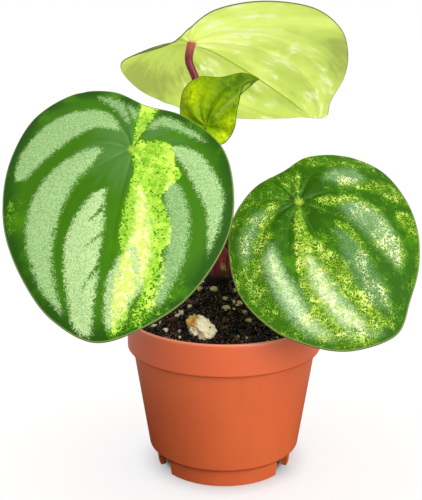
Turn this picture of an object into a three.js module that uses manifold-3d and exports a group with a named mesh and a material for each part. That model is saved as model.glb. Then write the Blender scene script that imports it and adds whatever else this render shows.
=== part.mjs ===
// Potted peperomia: a young plant with four leaves in an 8.5 cm nursery pot.
// Millimetres, +Z up. The plant is laid out from the pot's axis, with z = 0 on the table,
// and the whole object is then shifted so that the origin lies under the middle of its box.

import * as THREE from 'three';
import { mergeVertices } from 'three/addons/utils/BufferGeometryUtils.js';
import Module from 'manifold-3d';

const wasm = await Module();
wasm.setup();

// ---- driving dimensions ----------------------------------------------------------------

const GAP = 0.3; // clearance between pieces that touch

const pot = {
  height: 68,
  lipRadius: 42.5, // outside of the collar, so the pot is 85 mm across
  mouthRadius: 40.9,
  collarBottom: 54,
  shoulderRadius: 40.2, // outside of the body where it meets the collar
  baseRadius: 33.4,
  wall: 1.3,
  footHeight: 8,
  footRadius: 30.5,
  footWall: 2.6,
  floorThickness: 1.4,
  feet: 3,
  footGapDegrees: 20,
  drainHoles: 6,
  drainRadius: 2.5,
  drainCircle: 19,
  segments: 60,
};

const mix = {
  edgeHeight: 63, // where the potting mix meets the wall
  rise: 17, // of the mound round the stem, over the edge
  spread: 17, // how far out the mound falls away
  spokes: 40,
  rings: 11,
};

const stem = {
  x: -1,
  y: 8,
  foot: 60,
  top: 91,
  radius: 4.6,
  roots: 4,
  rootRadius: 1.3,
};

// A blade is laid out in its own plane: u runs from the petiole to the tip, v across it, and
// the margin is a closed curve through the points listed, from the tip round by the side where
// v is negative. facing is the way the upper face looks (azimuth 0 is -Y, positive towards +X)
// and how far the midrib is turned from the steepest line of the blade. droop is the curvature
// along, across and in twist.
// attach is where the petiole meets the underside. veins are angles round the petiole.
const leaves = {
  left: {
    attach: [-35.75, -29.25, 143.2],
    facing: { azimuth: -4, elevation: 42, turn: -6 },
    droop: { along: 0.006, across: 0.006, twist: 0 },
    thickness: 1,
    dimple: { depth: 1.6, radius: 6 },
    quilting: 0.8,
    veins: [-180, -150, -105, -60, 0, 42, 84, 120, 180],
    spokesPerPoint: 3,
    rings: 7,
    colour: 0x2f7a1c,
    margin: [
      [75.5, -0.5], [69.5, -18.5], [57, -32], [40.5, -43], [23.5, -48.5], [5, -49.5],
      [-14, -44.5], [-26.5, -30.5], [-28, -14], [-21.5, 1.5], [-18.5, 17], [-6.5, 34.5],
      [14, 42], [33, 41.5], [53, 32.5], [67, 18],
    ],
  },
  right: {
    attach: [29.75, -23.3, 121.4],
    facing: { azimuth: 4, elevation: 46, turn: 36 },
    droop: { along: 0.008, across: 0.008, twist: -0.002 },
    thickness: 1,
    dimple: { depth: 1.6, radius: 6 },
    quilting: 1,
    veins: [-180, -140, -103, -72, -25, 34, 86, 130, 180],
    spokesPerPoint: 3,
    rings: 7,
    colour: 0x3f8a22,
    margin: [
      [63, -2.5], [58, -19.5], [48, -31.5], [33.5, -40.5], [16.5, -43], [1.5, -37],
      [-10, -26], [-16, -10], [-15.5, 5.5], [-16, 19], [-8.5, 33], [5.5, 41],
      [21.5, 39.5], [36, 33], [48, 22.5], [56.5, 10],
    ],
  },
  top: {
    attach: [-14.1, 10, 183.4],
    facing: { azimuth: 183, elevation: 60, turn: -46 },
    droop: { along: 0.003, across: 0.005, twist: 0.001 },
    thickness: 1,
    dimple: { depth: 1.6, radius: 6 },
    quilting: 0.8,
    veins: [-180, -140, -95, -48, 0, 48, 95, 140, 180],
    spokesPerPoint: 3,
    rings: 7,
    colour: 0xb9cf63,
    margin: [
      [85, -5], [77, -14.5], [64, -32], [47.5, -46], [27, -57], [6, -59.5],
      [-7.5, -47], [-12, -26.5], [-8, -7], [-5, 11], [-11, 32.5], [7, 42.5],
      [28.5, 41.5], [48, 35], [66.5, 20], [77.5, 5],
    ],
  },
  young: {
    attach: [-7.5, -3.2, 150.1],
    facing: { azimuth: -8, elevation: 12, turn: 137 },
    droop: { along: 0.012, across: 0.02, twist: 0 },
    thickness: 0.8,
    dimple: { depth: 0.6, radius: 4 },
    quilting: 1.1,
    veins: [-180, -70, 0, 45, 85, 125, 180],
    spokesPerPoint: 3,
    rings: 6,
    colour: 0x9db814,
    margin: [
      [29, -1.5], [23, 1], [15, -3.5], [7.5, -9], [-1, -10], [-5, -3],
      [-6, 5.5], [-4, 12.5], [4, 18.5], [12, 17.5], [18, 11], [26, 5.5],
    ],
  },
};

// Routes of the petioles from inside the crown to just inside the blade, on the pot's axis.
const petioles = {
  left: {
    radius: 1.9,
    steps: 18,
    route: [[-3, 5, 84.5], [-6, 2, 98], [-14, -4, 120], [-25, -14, 138], [-35.75, -29.5, 143.5]],
  },
  right: {
    radius: 1.9,
    steps: 16,
    route: [[1.5, 5.5, 84.5], [4.5, 3, 96], [12, -2, 110], [21, -10.5, 119.5], [29.75, -23.6, 121.8]],
  },
  top: {
    radius: 1.6,
    steps: 22,
    route: [
      [-2.5, 10.5, 84.5], [-5, 10, 100], [-7.5, 8.5, 125], [-10, 8.5, 150],
      [-12.5, 9.5, 168.7], [-15.3, 10, 176.6], [-14.1, 10.2, 183.8],
    ],
  },
  young: {
    radius: 1.1,
    steps: 14,
    route: [[1.5, 10.5, 84.5], [1, 9.5, 98], [-1, 5.5, 122], [-5, 1, 140], [-7.55, -3.6, 150.2]],
  },
};
const petioleSides = 8;

// The pumice chunk and the perlite grains: place on the mix, mean radius, and colour.
const chunk = { x: -9.4, y: -24.6, radii: [6.3, 4.6, 5], sunk: 1.6 };
const grains = [
  { x: 0.8, y: -10.1, radius: 1.5 },
  { x: 6.4, y: -5.8, radius: 1.3 },
  { x: 0.4, y: -4.9, radius: 1 },
  { x: -4.6, y: 0.4, radius: 1.4 },
  { x: 4.4, y: 0.6, radius: 1 },
  { x: 8.5, y: -9.6, radius: 1.1 },
  { x: 10.2, y: -14.8, radius: 1.2 },
  { x: -10.5, y: 4.6, radius: 1.3 },
  { x: -14.8, y: -5.4, radius: 1 },
  { x: 14.5, y: 20, radius: 1.4 },
  { x: -17, y: 21, radius: 1.2 },
  { x: 3, y: 28, radius: 1.5 },
];
const bark = { x: -21.5, y: -10.7, radii: [2.6, 1.5, 1.1], sunk: 0.5 };

const colours = {
  pot: 0xd15c35,
  mix: 0x2a1810,
  crown: 0x8a7a3c,
  petiole: 0x8e2b45,
  chunk: 0xe6ddc0,
  grain: 0xd8cfae,
  bark: 0x6a3322,
};

// ---- solids ----------------------------------------------------------------------------

/** A closed three.js geometry as a solid that can be cut and joined. */
function solid(geometry) {
  const bare = geometry.clone();
  for (const name of Object.keys(bare.attributes)) {
    if (name !== 'position') bare.deleteAttribute(name);
  }
  const merged = mergeVertices(bare, 1e-4);
  return new wasm.Manifold(new wasm.Mesh({
    numProp: 3,
    vertProperties: new Float32Array(merged.attributes.position.array),
    triVerts: new Uint32Array(merged.index.array),
  }));
}

/** A cut or joined solid as a three.js geometry. */
function geometryOf(manifold) {
  const mesh = manifold.getMesh();
  return indexed(mesh.vertProperties, mesh.triVerts);
}

function indexed(positions, triangles) {
  const geometry = new THREE.BufferGeometry();
  geometry.setAttribute('position', new THREE.Float32BufferAttribute(positions, 3));
  geometry.setIndex(Array.from(triangles));
  geometry.computeVertexNormals();
  return geometry;
}

/** A turned solid about the Z axis; its profile is listed as [radius, height]. */
function turned(profile, segments) {
  const points = profile.map(([r, z]) => new THREE.Vector2(r, z));
  return new THREE.LatheGeometry(points, segments).rotateX(Math.PI / 2);
}

/** A round rod that follows a smooth curve through the points of its route. */
function rod(route, radius, sides, steps) {
  const path = new THREE.CatmullRomCurve3(route.map((p) => new THREE.Vector3(...p)));
  const section = new THREE.Shape();
  for (let i = 0; i < sides; i += 1) {
    const angle = (i * 2 * Math.PI) / sides;
    const [x, y] = [radius * Math.cos(angle), radius * Math.sin(angle)];
    if (i === 0) section.moveTo(x, y);
    else section.lineTo(x, y);
  }
  section.closePath();
  return new THREE.ExtrudeGeometry(section, { steps, extrudePath: path, bevelEnabled: false });
}

/** A smooth wander in the range -1 to 1, the same at every run. */
function wander(a, b, c) {
  return (Math.sin(a * 1.7 + b * 0.9 + c) + Math.sin(b * 1.9 - c * 1.3 + 2)
    + Math.sin(c * 1.5 + a * 1.1 - b + 4)) / 3;
}

/** A lumpy stone with the given radii; seed changes its lumps. */
function stone(centre, radii, seed, detail, grow = 0) {
  const geometry = new THREE.IcosahedronGeometry(1, detail);
  const position = geometry.attributes.position;
  const lumpiness = 0.16;
  const p = new THREE.Vector3();
  for (let i = 0; i < position.count; i += 1) {
    p.fromBufferAttribute(position, i);
    const lump = 1 + lumpiness * wander(p.x * 2.2 + seed, p.y * 2.2, p.z * 2.2);
    p.set(...radii.map((r, axis) => p.getComponent(axis) * (r * lump + grow)));
    position.setXYZ(i, ...p);
  }
  return solid(geometry.translate(...centre));
}

// ---- pot -------------------------------------------------------------------------------

const floorTop = pot.footHeight + pot.floorThickness;
const bodyInner = pot.shoulderRadius - pot.wall;
const collarInner = pot.mouthRadius + 0.1;
const floorInner = pot.baseRadius - pot.wall;
const collarStep = pot.collarBottom + 2; // the inside of the collar starts a little higher

function potSolid() {
  const { height, lipRadius, mouthRadius, footHeight, footRadius, footWall } = pot;
  const shell = solid(turned([
    [0, footHeight],
    [footRadius - footWall, footHeight],
    [footRadius - footWall - 0.9, 0.4],
    [footRadius - footWall - 0.6, 0],
    [footRadius - 1.2, 0],
    [footRadius - 0.8, 0.4],
    [footRadius, footHeight],
    [pot.baseRadius - 0.9, footHeight],
    [pot.baseRadius, footHeight + 0.9],
    [pot.shoulderRadius, pot.collarBottom],
    [lipRadius - 0.4, pot.collarBottom],
    [lipRadius, pot.collarBottom + 0.5],
    [lipRadius, height - 0.9],
    [lipRadius - 0.4, height - 0.1],
    [lipRadius - 0.9, height],
    [mouthRadius + 0.3, height - 0.2],
    [mouthRadius, height - 0.8],
    [collarInner, collarStep],
    [bodyInner, pot.collarBottom],
    [floorInner, floorTop],
    [0, floorTop],
  ], pot.segments));

  let cutters = null;
  const join = (cutter) => { cutters = cutters ? cutters.add(cutter) : cutter; };
  const half = THREE.MathUtils.degToRad(pot.footGapDegrees / 2);
  const reach = pot.footRadius + 0.6;
  for (let i = 0; i < pot.feet; i += 1) {
    const middle = -Math.PI / 2 + ((i + 0.5) * 2 * Math.PI) / pot.feet;
    const corner = (angle, r) => [r * Math.cos(angle), r * Math.sin(angle)];
    const wedge = new THREE.Shape();
    wedge.moveTo(...corner(middle - half, 24));
    wedge.lineTo(...corner(middle - half, reach));
    wedge.lineTo(...corner(middle + half, reach));
    wedge.lineTo(...corner(middle + half, 24));
    wedge.closePath();
    const options = { depth: pot.footHeight + 1, bevelEnabled: false };
    join(solid(new THREE.ExtrudeGeometry(wedge, options).translate(0, 0, -1)));
  }
  for (let i = 0; i < pot.drainHoles; i += 1) {
    const angle = (i * 2 * Math.PI) / pot.drainHoles;
    const hole = new THREE.CylinderGeometry(pot.drainRadius, pot.drainRadius, 6, 12)
      .rotateX(Math.PI / 2)
      .translate(
        pot.drainCircle * Math.cos(angle),
        pot.drainCircle * Math.sin(angle),
        pot.footHeight + pot.floorThickness / 2,
      );
    join(solid(hole));
  }
  return shell.subtract(cutters);
}

// ---- crown and potting mix ---------------------------------------------------------------

/** The stem with its roots; grow gives the hole that it stands in. */
function crownSolid(grow = 0) {
  const r = stem.radius + grow;
  let body = solid(turned([
    [0, stem.foot - grow],
    [r * 0.55, stem.foot - grow],
    [r * 0.8, 66],
    [r, 75],
    [r * 0.9, 80],
    [r * 1.12, 85],
    [r * 1.02, 88.5],
    [r * 0.6, stem.top - 0.6 + grow],
    [0, stem.top + grow],
  ], 16).translate(stem.x, stem.y, 0));
  for (let i = 0; i < stem.roots; i += 1) {
    const angle = 0.5 + (i * 2 * Math.PI) / stem.roots;
    const [c, s] = [Math.cos(angle), Math.sin(angle)];
    const end = 17 + 2 * (i % 2) + grow;
    const route = [[0, 0, 64], [6 * c, 6 * s, 58], [12 * c, 12 * s, 48], [end * c, end * s, 36 - grow]]
      .map(([x, y, z]) => [x + stem.x, y + stem.y, z]);
    body = body.add(solid(rod(route, stem.rootRadius + grow, 6, 8)));
  }
  return body;
}

/** Height of the potting mix over the table. */
function mixHeight(x, y) {
  const fromStem = Math.hypot(x - stem.x, y - stem.y);
  const mound = mix.rise * Math.exp(-(fromStem ** 2) / (2 * mix.spread ** 2));
  const crumbs = 0.7 * wander(x * 0.55, y * 0.6, 1) + 0.4 * wander(x * 1.1, y, 3);
  return mix.edgeHeight + mound + crumbs;
}

/** Outline of the mix against the inside of the pot, from its floor up, as [radius, height]. */
function mixSide() {
  return [
    [floorInner - GAP, floorTop + GAP],
    [bodyInner - GAP - 0.1, pot.collarBottom + 0.1],
    [collarInner - GAP - 0.1, collarStep + 0.1],
  ];
}

function mixSolid(holes) {
  const positions = [];
  const triangles = [];
  const { spokes, rings } = mix;
  const topRadius = collarInner - GAP - 0.15;
  const rows = [];
  const addRow = (radius, height) => {
    const row = [];
    for (let k = 0; k < spokes; k += 1) {
      const angle = (k * 2 * Math.PI) / spokes;
      const [x, y] = [radius * Math.cos(angle), radius * Math.sin(angle)];
      row.push(positions.length / 3);
      positions.push(x, y, height ?? mixHeight(x, y));
    }
    rows.push(row);
  };
  mixSide().forEach(([r, z]) => addRow(r, z));
  for (let j = rings; j > 0; j -= 1) addRow((topRadius * j) / rings, null);
  const bottom = positions.length / 3;
  positions.push(0, 0, floorTop + GAP);
  const peak = positions.length / 3;
  positions.push(0, 0, mixHeight(0, 0));
  for (let k = 0; k < spokes; k += 1) {
    const next = (k + 1) % spokes;
    triangles.push(bottom, rows[0][next], rows[0][k]);
    for (let j = 0; j + 1 < rows.length; j += 1) {
      const [a, b] = [rows[j][k], rows[j][next]];
      const [c, d] = [rows[j + 1][k], rows[j + 1][next]];
      triangles.push(a, b, d, a, d, c);
    }
    const last = rows[rows.length - 1];
    triangles.push(last[k], last[next], peak);
  }
  return holes.reduce((body, hole) => body.subtract(hole), solid(indexed(positions, triangles)));
}

// ---- leaves and petioles -----------------------------------------------------------------

/** Directions of a blade: along the midrib, across it, and out of the upper face. */
function bladeDirections({ azimuth, elevation, turn }) {
  const [a, e, t] = [azimuth, elevation, turn].map(THREE.MathUtils.degToRad);
  const out = new THREE.Vector3(
    Math.sin(a) * Math.cos(e), -Math.cos(a) * Math.cos(e), Math.sin(e),
  );
  const down = new THREE.Vector3(
    Math.sin(a) * Math.sin(e), -Math.cos(a) * Math.sin(e), -Math.cos(e),
  );
  const along = down.clone().applyAxisAngle(out, t);
  const across = new THREE.Vector3().crossVectors(out, along);
  return { along, across, out };
}

/** How far the blade stands out of its flat plane at u, v; inward is 0 at the petiole, 1 at the margin. */
function bladeHeight(leaf, u, v, inward) {
  const { droop, dimple, quilting, veins, margin } = leaf;
  const curve = -(droop.along * u * u + droop.across * v * v) / 2 - droop.twist * u * v;
  const boss = dimple.depth * (1 - Math.exp(-(u * u + v * v) / (2 * dimple.radius ** 2)));
  // The veins are arcs from the petiole to the tip, and the blade swells between them.
  const tip = margin[0][0];
  const angle = THREE.MathUtils.radToDeg(Math.atan2(v, u) + Math.atan2(v, tip - u));
  const arc = THREE.MathUtils.clamp(angle, -179.9, 179.9);
  const i = veins.findIndex((vein) => vein > arc);
  const between = (arc - veins[i - 1]) / (veins[i] - veins[i - 1]);
  const swell = quilting * Math.sin(Math.PI * between) ** 2 * (4 * inward * (1 - inward)) ** 0.7;
  return curve + boss + swell;
}

/**
 * Upper and lower faces are the same surface, a blade's thickness apart, joined at the margin.
 * below and above thicken the blade, for cutting a petiole off under it.
 */
function bladeGeometry(leaf, below = 0, above = 0) {
  const { along, across, out } = bladeDirections(leaf.facing);
  const outline = new THREE.CatmullRomCurve3(
    leaf.margin.map(([u, v]) => new THREE.Vector3(u, v, 0)), true, 'catmullrom', 0.5,
  );
  const spokes = leaf.margin.length * leaf.spokesPerPoint;
  const origin = new THREE.Vector3(...leaf.attach);
  const positions = [];
  const addPoint = (u, v, inward, lift) => {
    const height = bladeHeight(leaf, u, v, inward) + lift;
    const p = origin.clone().addScaledVector(along, u).addScaledVector(across, v)
      .addScaledVector(out, height);
    positions.push(...p);
  };
  const faces = [-below, leaf.thickness + above].map((lift) => {
    const first = positions.length / 3;
    addPoint(0, 0, 0, lift);
    for (let j = 1; j <= leaf.rings; j += 1) {
      const inward = j / leaf.rings;
      for (let k = 0; k < spokes; k += 1) {
        const edge = outline.getPoint(k / spokes);
        addPoint(edge.x * inward, edge.y * inward, inward, lift);
      }
    }
    return first;
  });
  const triangles = [];
  const at = (face, j, k) => faces[face] + (j === 0 ? 0 : 1 + (j - 1) * spokes + (k % spokes));
  for (let k = 0; k < spokes; k += 1) {
    for (let j = 0; j < leaf.rings; j += 1) {
      for (const face of [0, 1]) {
        const quad = [at(face, j, k), at(face, j + 1, k), at(face, j + 1, k + 1), at(face, j, k + 1)];
        const halves = j === 0 ? [[0, 1, 2]] : [[0, 1, 2], [0, 2, 3]];
        for (const half of halves) {
          const [a, b, c] = half.map((i) => quad[i]);
          triangles.push(...(face === 1 ? [a, c, b] : [a, b, c]));
        }
      }
    }
    const rim = [0, 1].flatMap((face) => [at(face, leaf.rings, k), at(face, leaf.rings, k + 1)]);
    triangles.push(rim[0], rim[2], rim[1], rim[1], rim[2], rim[3]);
  }
  return indexed(positions, triangles);
}

function petioleSolid(name) {
  const { route, radius, steps } = petioles[name];
  const stalk = solid(rod(route, radius, petioleSides, steps));
  return stalk.subtract(solid(bladeGeometry(leaves[name], GAP, 2 * radius)));
}

/** The hole that a petiole leaves in the crown. */
function petioleSocket(name) {
  const { route, radius, steps } = petioles[name];
  const [first, second] = route.slice(0, 2).map((p) => new THREE.Vector3(...p));
  const start = first.clone().addScaledVector(second.sub(first).normalize(), -GAP);
  return solid(rod([[...start], ...route], radius + GAP, petioleSides, steps));
}

// ---- assembly ----------------------------------------------------------------------------

const plant = new THREE.Group();

function add(name, geometry, color, roughness) {
  const material = new THREE.MeshStandardMaterial({ color, roughness, metalness: 0 });
  const mesh = new THREE.Mesh(geometry, material);
  mesh.name = name;
  plant.add(mesh);
}

add('pot', geometryOf(potSolid()), colours.pot, 0.45);

const loose = [
  { name: 'pumice_chunk', ...chunk, seed: 1.3, detail: 2, colour: colours.chunk },
  { name: 'bark_chip', ...bark, seed: 5.1, detail: 1, colour: colours.bark },
  ...grains.map((grain, i) => ({
    name: `perlite_${i + 1}`,
    ...grain,
    radii: [1.15, 0.95, 0.85].map((k) => k * grain.radius),
    sunk: 0.45 * grain.radius,
    seed: 2 + 1.7 * i,
    detail: 1,
    colour: colours.grain,
  })),
];
const holes = [crownSolid(GAP)];
for (const piece of loose) {
  const centre = [piece.x, piece.y, mixHeight(piece.x, piece.y) + piece.radii[2] - piece.sunk];
  add(piece.name, geometryOf(stone(centre, piece.radii, piece.seed, piece.detail)), piece.colour, 0.9);
  holes.push(stone(centre, piece.radii, piece.seed, piece.detail, GAP));
}
add('potting_mix', geometryOf(mixSolid(holes)), colours.mix, 1);

let crown = crownSolid();
for (const name of Object.keys(petioles)) crown = crown.subtract(petioleSocket(name));
add('crown', geometryOf(crown), colours.crown, 0.6);

for (const [name, leaf] of Object.entries(leaves)) {
  add(`petiole_${name}`, geometryOf(petioleSolid(name)), colours.petiole, 0.4);
  add(`leaf_${name}`, bladeGeometry(leaf), leaf.colour, 0.4);
}

const middle = new THREE.Box3().setFromObject(plant).getCenter(new THREE.Vector3());
plant.position.set(-middle.x, -middle.y, 0);

const object = new THREE.Group();
object.add(plant);

export default object;
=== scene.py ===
# %% [markdown]
# # A potted peperomia
#
# A young watermelon peperomia in an 8.5 cm plastic nursery pot: four leaves on raspberry red
# petioles, standing in dark potting mix. The solid pieces come from a CAD model, loaded here as
# a fixed frame. Each of them is then replaced by a finer piece of the same form, because leaves,
# crumbs of peat and a moulded pot all need more relief and colour than a plain solid has.

import bpy
import numpy as np
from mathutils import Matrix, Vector, noise


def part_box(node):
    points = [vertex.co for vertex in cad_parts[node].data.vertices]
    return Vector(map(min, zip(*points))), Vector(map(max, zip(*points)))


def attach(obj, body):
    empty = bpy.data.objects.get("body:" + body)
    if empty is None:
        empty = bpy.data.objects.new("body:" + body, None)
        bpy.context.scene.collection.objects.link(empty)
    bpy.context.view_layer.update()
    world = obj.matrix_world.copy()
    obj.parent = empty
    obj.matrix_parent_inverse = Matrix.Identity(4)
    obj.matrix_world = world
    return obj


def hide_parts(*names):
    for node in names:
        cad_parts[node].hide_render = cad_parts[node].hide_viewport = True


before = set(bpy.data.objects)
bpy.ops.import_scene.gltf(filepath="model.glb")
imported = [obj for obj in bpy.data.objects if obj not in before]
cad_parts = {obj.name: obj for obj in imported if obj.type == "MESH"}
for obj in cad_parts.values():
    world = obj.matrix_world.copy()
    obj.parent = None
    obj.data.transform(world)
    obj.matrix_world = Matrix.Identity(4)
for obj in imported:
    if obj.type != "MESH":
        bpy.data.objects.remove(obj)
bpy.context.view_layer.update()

MM = 0.001
scene = bpy.context.scene
pot_low, pot_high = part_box("pot")
pot_axis = np.array([(pot_low.x + pot_high.x) / 2, (pot_low.y + pot_high.y) / 2, 0.0])

# %% [markdown]
# ## Small tools
#
# Every piece below is laid out in millimetres from the axis of the pot, with the table at zero.
# `add_piece` turns such points into a mesh whose place is in its vertices. `closed_skin` joins
# rings of points into a closed body, which suits a pot, a stem and a leaf alike. Two more
# helpers turn hex colours to linear light and add a node with its settings and links.

# %% Tools for pieces
def add_piece(name, points, faces, *finishes, face_finish=None):
    """A smooth mesh from points in mm on the pot's axis, its faces turned outwards."""
    points = np.asarray(points, float)
    corners = [points[[face[i] for face in faces]] for i in range(3)]
    volume = np.einsum("ij,ij->i", corners[0], np.cross(corners[1], corners[2])).sum()
    if volume < 0:
        faces = [face[::-1] for face in faces]
    mesh = bpy.data.meshes.new(name)
    mesh.from_pydata((points * MM + pot_axis).tolist(), [], faces)
    for finish in finishes:
        mesh.materials.append(finish)
    mesh.polygons.foreach_set("use_smooth", [True] * len(faces))
    if face_finish is not None:
        mesh.polygons.foreach_set("material_index", face_finish)
    mesh.update()
    piece = bpy.data.objects.new(name, mesh)
    scene.collection.objects.link(piece)
    return piece


def closed_skin(rings, start, end):
    """Points and faces of a closed body: rings of points between two end points."""
    rings = np.asarray(rings, float)
    rows, spokes = rings.shape[:2]
    points = np.vstack([rings.reshape(-1, 3), [start, end]])
    row, spoke = np.mgrid[0:rows - 1, 0:spokes]
    a = (row * spokes + spoke).ravel()
    b = (row * spokes + (spoke + 1) % spokes).ravel()
    faces = np.stack([a, b, b + spokes, a + spokes], axis=-1).tolist()
    first, last = rows * spokes, (rows - 1) * spokes
    for i in range(spokes):
        after = (i + 1) % spokes
        faces.append([first, after, i])
        faces.append([first + 1, last + i, last + after])
    return points, faces


def hand_in(piece, slot, *nodes):
    """The piece rides on the plant's one body and stands for these CAD nodes."""
    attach(piece, "root")
    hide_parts(*nodes)
    print(piece.name, "has", len(piece.data.polygons), "faces and stands for", ", ".join(nodes))


# %% Tools for colours and nodes
def linear(hex_colour, alpha=1.0):
    """An sRGB hex colour as linear light."""
    parts = [int(hex_colour[i:i + 2], 16) / 255 for i in (1, 3, 5)]
    return [p / 12.92 if p <= 0.04045 else ((p + 0.055) / 1.055) ** 2.4 for p in parts] + [alpha]


def add_node(tree, kind, inputs=None, **settings):
    """Adds a node: settings are its properties, and inputs hold values or links."""
    node = tree.nodes.new(kind)
    for name, value in settings.items():
        setattr(node, name, value)
    for name, value in (inputs or {}).items():
        if isinstance(value, bpy.types.NodeSocket):
            tree.links.new(value, node.inputs[name])
        else:
            node.inputs[name].default_value = value
    return node


def new_finish(name, roughness, specular, grains=None, fields=(), stretch=(1, 1, 1), flow=None):
    """A material and the sockets to paint it with.

    grains are noises in object space, as (mm across, detail, roughness). One whose label starts
    with flow follows the vector stored under that name, one that starts with drawn is stretched,
    and one that starts with dots is the distance to scattered points. fields are numbers stored
    at the vertices.
    """
    finish = bpy.data.materials.new(name)
    finish.use_nodes = True
    tree = finish.node_tree
    surface = tree.nodes["Principled BSDF"]
    surface.inputs["Roughness"].default_value = roughness
    surface.inputs["Specular IOR Level"].default_value = specular
    place = add_node(tree, "ShaderNodeTexCoord").outputs["Object"]
    sockets = {}
    for label, (size, detail, rough) in (grains or {}).items():
        space = place
        if label.startswith("flow"):
            space = add_node(tree, "ShaderNodeAttribute", attribute_name=flow).outputs["Vector"]
        if label.startswith("drawn"):
            space = add_node(tree, "ShaderNodeMapping", {"Vector": place, "Scale": stretch}).outputs[0]
        scattered = label.startswith("dots")
        kind = "ShaderNodeTexVoronoi" if scattered else "ShaderNodeTexNoise"
        noise_node = add_node(tree, kind, {
            "Vector": space, "Scale": 1 / (size * MM), "Detail": detail, "Roughness": rough})
        sockets[label] = noise_node.outputs["Distance" if scattered else "Fac"]
    for label in fields:
        sockets[label] = add_node(tree, "ShaderNodeAttribute", attribute_name=label).outputs["Fac"]
    return finish, tree, sockets


def soft_mask(tree, value, low, high, wobbles=()):
    """0 below low and 1 above high. wobbles are (noise, amount) pairs that fray its edge."""
    for wobble, amount in wobbles:
        centred = add_node(tree, "ShaderNodeMath", {0: wobble, 1: 0.5}, operation="SUBTRACT").outputs[0]
        value = add_node(tree, "ShaderNodeMath", {0: centred, 1: amount, 2: value},
                         operation="MULTIPLY_ADD").outputs[0]
    span = {"Value": value, "From Min": low, "From Max": high}
    return add_node(tree, "ShaderNodeMapRange", span, interpolation_type="SMOOTHSTEP").outputs[0]


def layered(tree, base, *layers):
    """Colours laid over each other, each given as its mask and its colour."""
    shade = base
    for mask, colour in layers:
        shade = add_node(tree, "ShaderNodeMix", {0: mask, 6: shade, 7: colour}, data_type="RGBA").outputs[2]
    return shade


def dress(tree, colour, height, depth, strength=1.0):
    """Ends a finish: its colour, and bump from a height of 0 to 1 that is depth mm deep."""
    surface = tree.nodes["Principled BSDF"]
    bump = add_node(tree, "ShaderNodeBump", {
        "Height": height, "Distance": depth * MM, "Strength": strength})
    tree.links.new(colour, surface.inputs["Base Color"])
    tree.links.new(bump.outputs["Normal"], surface.inputs["Normal"])


print("tools ready")

# %% [markdown]
# ## Camera, light and table
#
# The photograph was taken from 38 cm away and a little above the leaves, on white. Two suns with
# wide discs stand for the softboxes: a large one at the front right, and a weak one low on the
# same side that gives the pot its sheen. A pale sky fills the rest. Sky and table are shown as
# white, as in the studio, but light the plant less than that, so that the greens stay deep.
# Light linking lets both suns pass over the table, which leaves it the sky's soft shadow.

# %% Camera
camera_place = np.array([0.0, -380.0, 188.0]) * MM + pot_axis
camera_pitch, camera_yaw = 13.55, 0.87
picture_height_px, focal_length_px = 500, 903
sensor_height = 36.0

camera = bpy.data.objects.new("camera", bpy.data.cameras.new("camera"))
camera.data.sensor_fit = "VERTICAL"
camera.data.sensor_height = sensor_height
camera.data.lens = focal_length_px / picture_height_px * sensor_height
camera.data.clip_start, camera.data.clip_end = 0.01, 100
camera.location = camera_place
camera.rotation_euler = np.radians([90 - camera_pitch, 0, camera_yaw])
scene.collection.objects.link(camera)
scene.camera = camera
print("camera with a lens of", round(camera.data.lens, 1), "mm")

# %% Softboxes and sky
softboxes = {  # degrees to the right, degrees up, width of the disc in degrees, and strength
    "studio_light": (37, 27, 50, 2.45), "side_light": (56, 4, 24, 0.5)}
sky_light, sky_shown = 0.76, 1.0

suns = []
for name, (azimuth, rise, disc, strength) in softboxes.items():
    sun = bpy.data.objects.new(name, bpy.data.lights.new(name, "SUN"))
    sun.data.energy = strength
    sun.data.angle = np.radians(disc)
    a, e = np.radians([azimuth, rise])
    toward_sun = Vector((np.sin(a) * np.cos(e), -np.cos(a) * np.cos(e), np.sin(e)))
    sun.rotation_euler = toward_sun.to_track_quat("Z", "Y").to_euler()
    scene.collection.objects.link(sun)
    suns.append(sun)

scene.world = bpy.data.worlds.new("studio_sky")
scene.world.use_nodes = True
sky = scene.world.node_tree
seen = add_node(sky, "ShaderNodeLightPath").outputs["Is Camera Ray"]
sky_strength = add_node(sky, "ShaderNodeMapRange", {
    "Value": seen, "To Min": sky_light, "To Max": sky_shown}).outputs[0]
sky.nodes["Background"].inputs["Color"].default_value = (1, 1, 1, 1)
sky.links.new(sky_strength, sky.nodes["Background"].inputs["Strength"])
scene.view_settings.view_transform = "Standard"
print("a sky and", len(suns), "softboxes")

# %% Table
# White laminate. For the camera it glows a little in a cool white, over a base that is a trace
# pink, so that the orange light from the pot doesn't tint it. The glow stops under the pot and
# fades where the foot stands, which paints a contact shadow round the foot. What it throws back
# at the plant is dark near the pot and white farther out: a painted shadow of the pot in the
# light that the table bounces. All places are metres from the pot's axis.
table_glow, glow_colour = 0.69, (0.87, 0.98, 1, 1)
under_pot, contact_shadow, pot_shadow_span = (0.025, 0.0285), (0.013, 0.041), (0.05, 0.22)
table_half_width = 20.0

table_finish, tree, _ = new_finish("white_laminate_table", 0.8, 0.0)
surface = tree.nodes["Principled BSDF"]
surface.inputs["Emission Color"].default_value = glow_colour
seen = add_node(tree, "ShaderNodeLightPath").outputs["Is Camera Ray"]
place = add_node(tree, "ShaderNodeTexCoord").outputs["Object"]
ends = {0: place, 1: tuple(pot_axis)}
away = add_node(tree, "ShaderNodeVectorMath", ends, operation="DISTANCE").outputs["Value"]
glow = seen
for share in (soft_mask(tree, away, *under_pot), soft_mask(tree, away, *contact_shadow), table_glow):
    glow = add_node(tree, "ShaderNodeMath", {0: glow, 1: share}, operation="MULTIPLY").outputs[0]
tree.links.new(glow, surface.inputs["Emission Strength"])
# painted shadow: what the table throws back is dark near the pot and white farther out
bounce = layered(tree, linear("#080808"), (soft_mask(tree, away, *pot_shadow_span), linear("#E8E8E8")))
tree.links.new(layered(tree, bounce, (seen, linear("#CBB8B6"))), surface.inputs["Base Color"])

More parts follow.
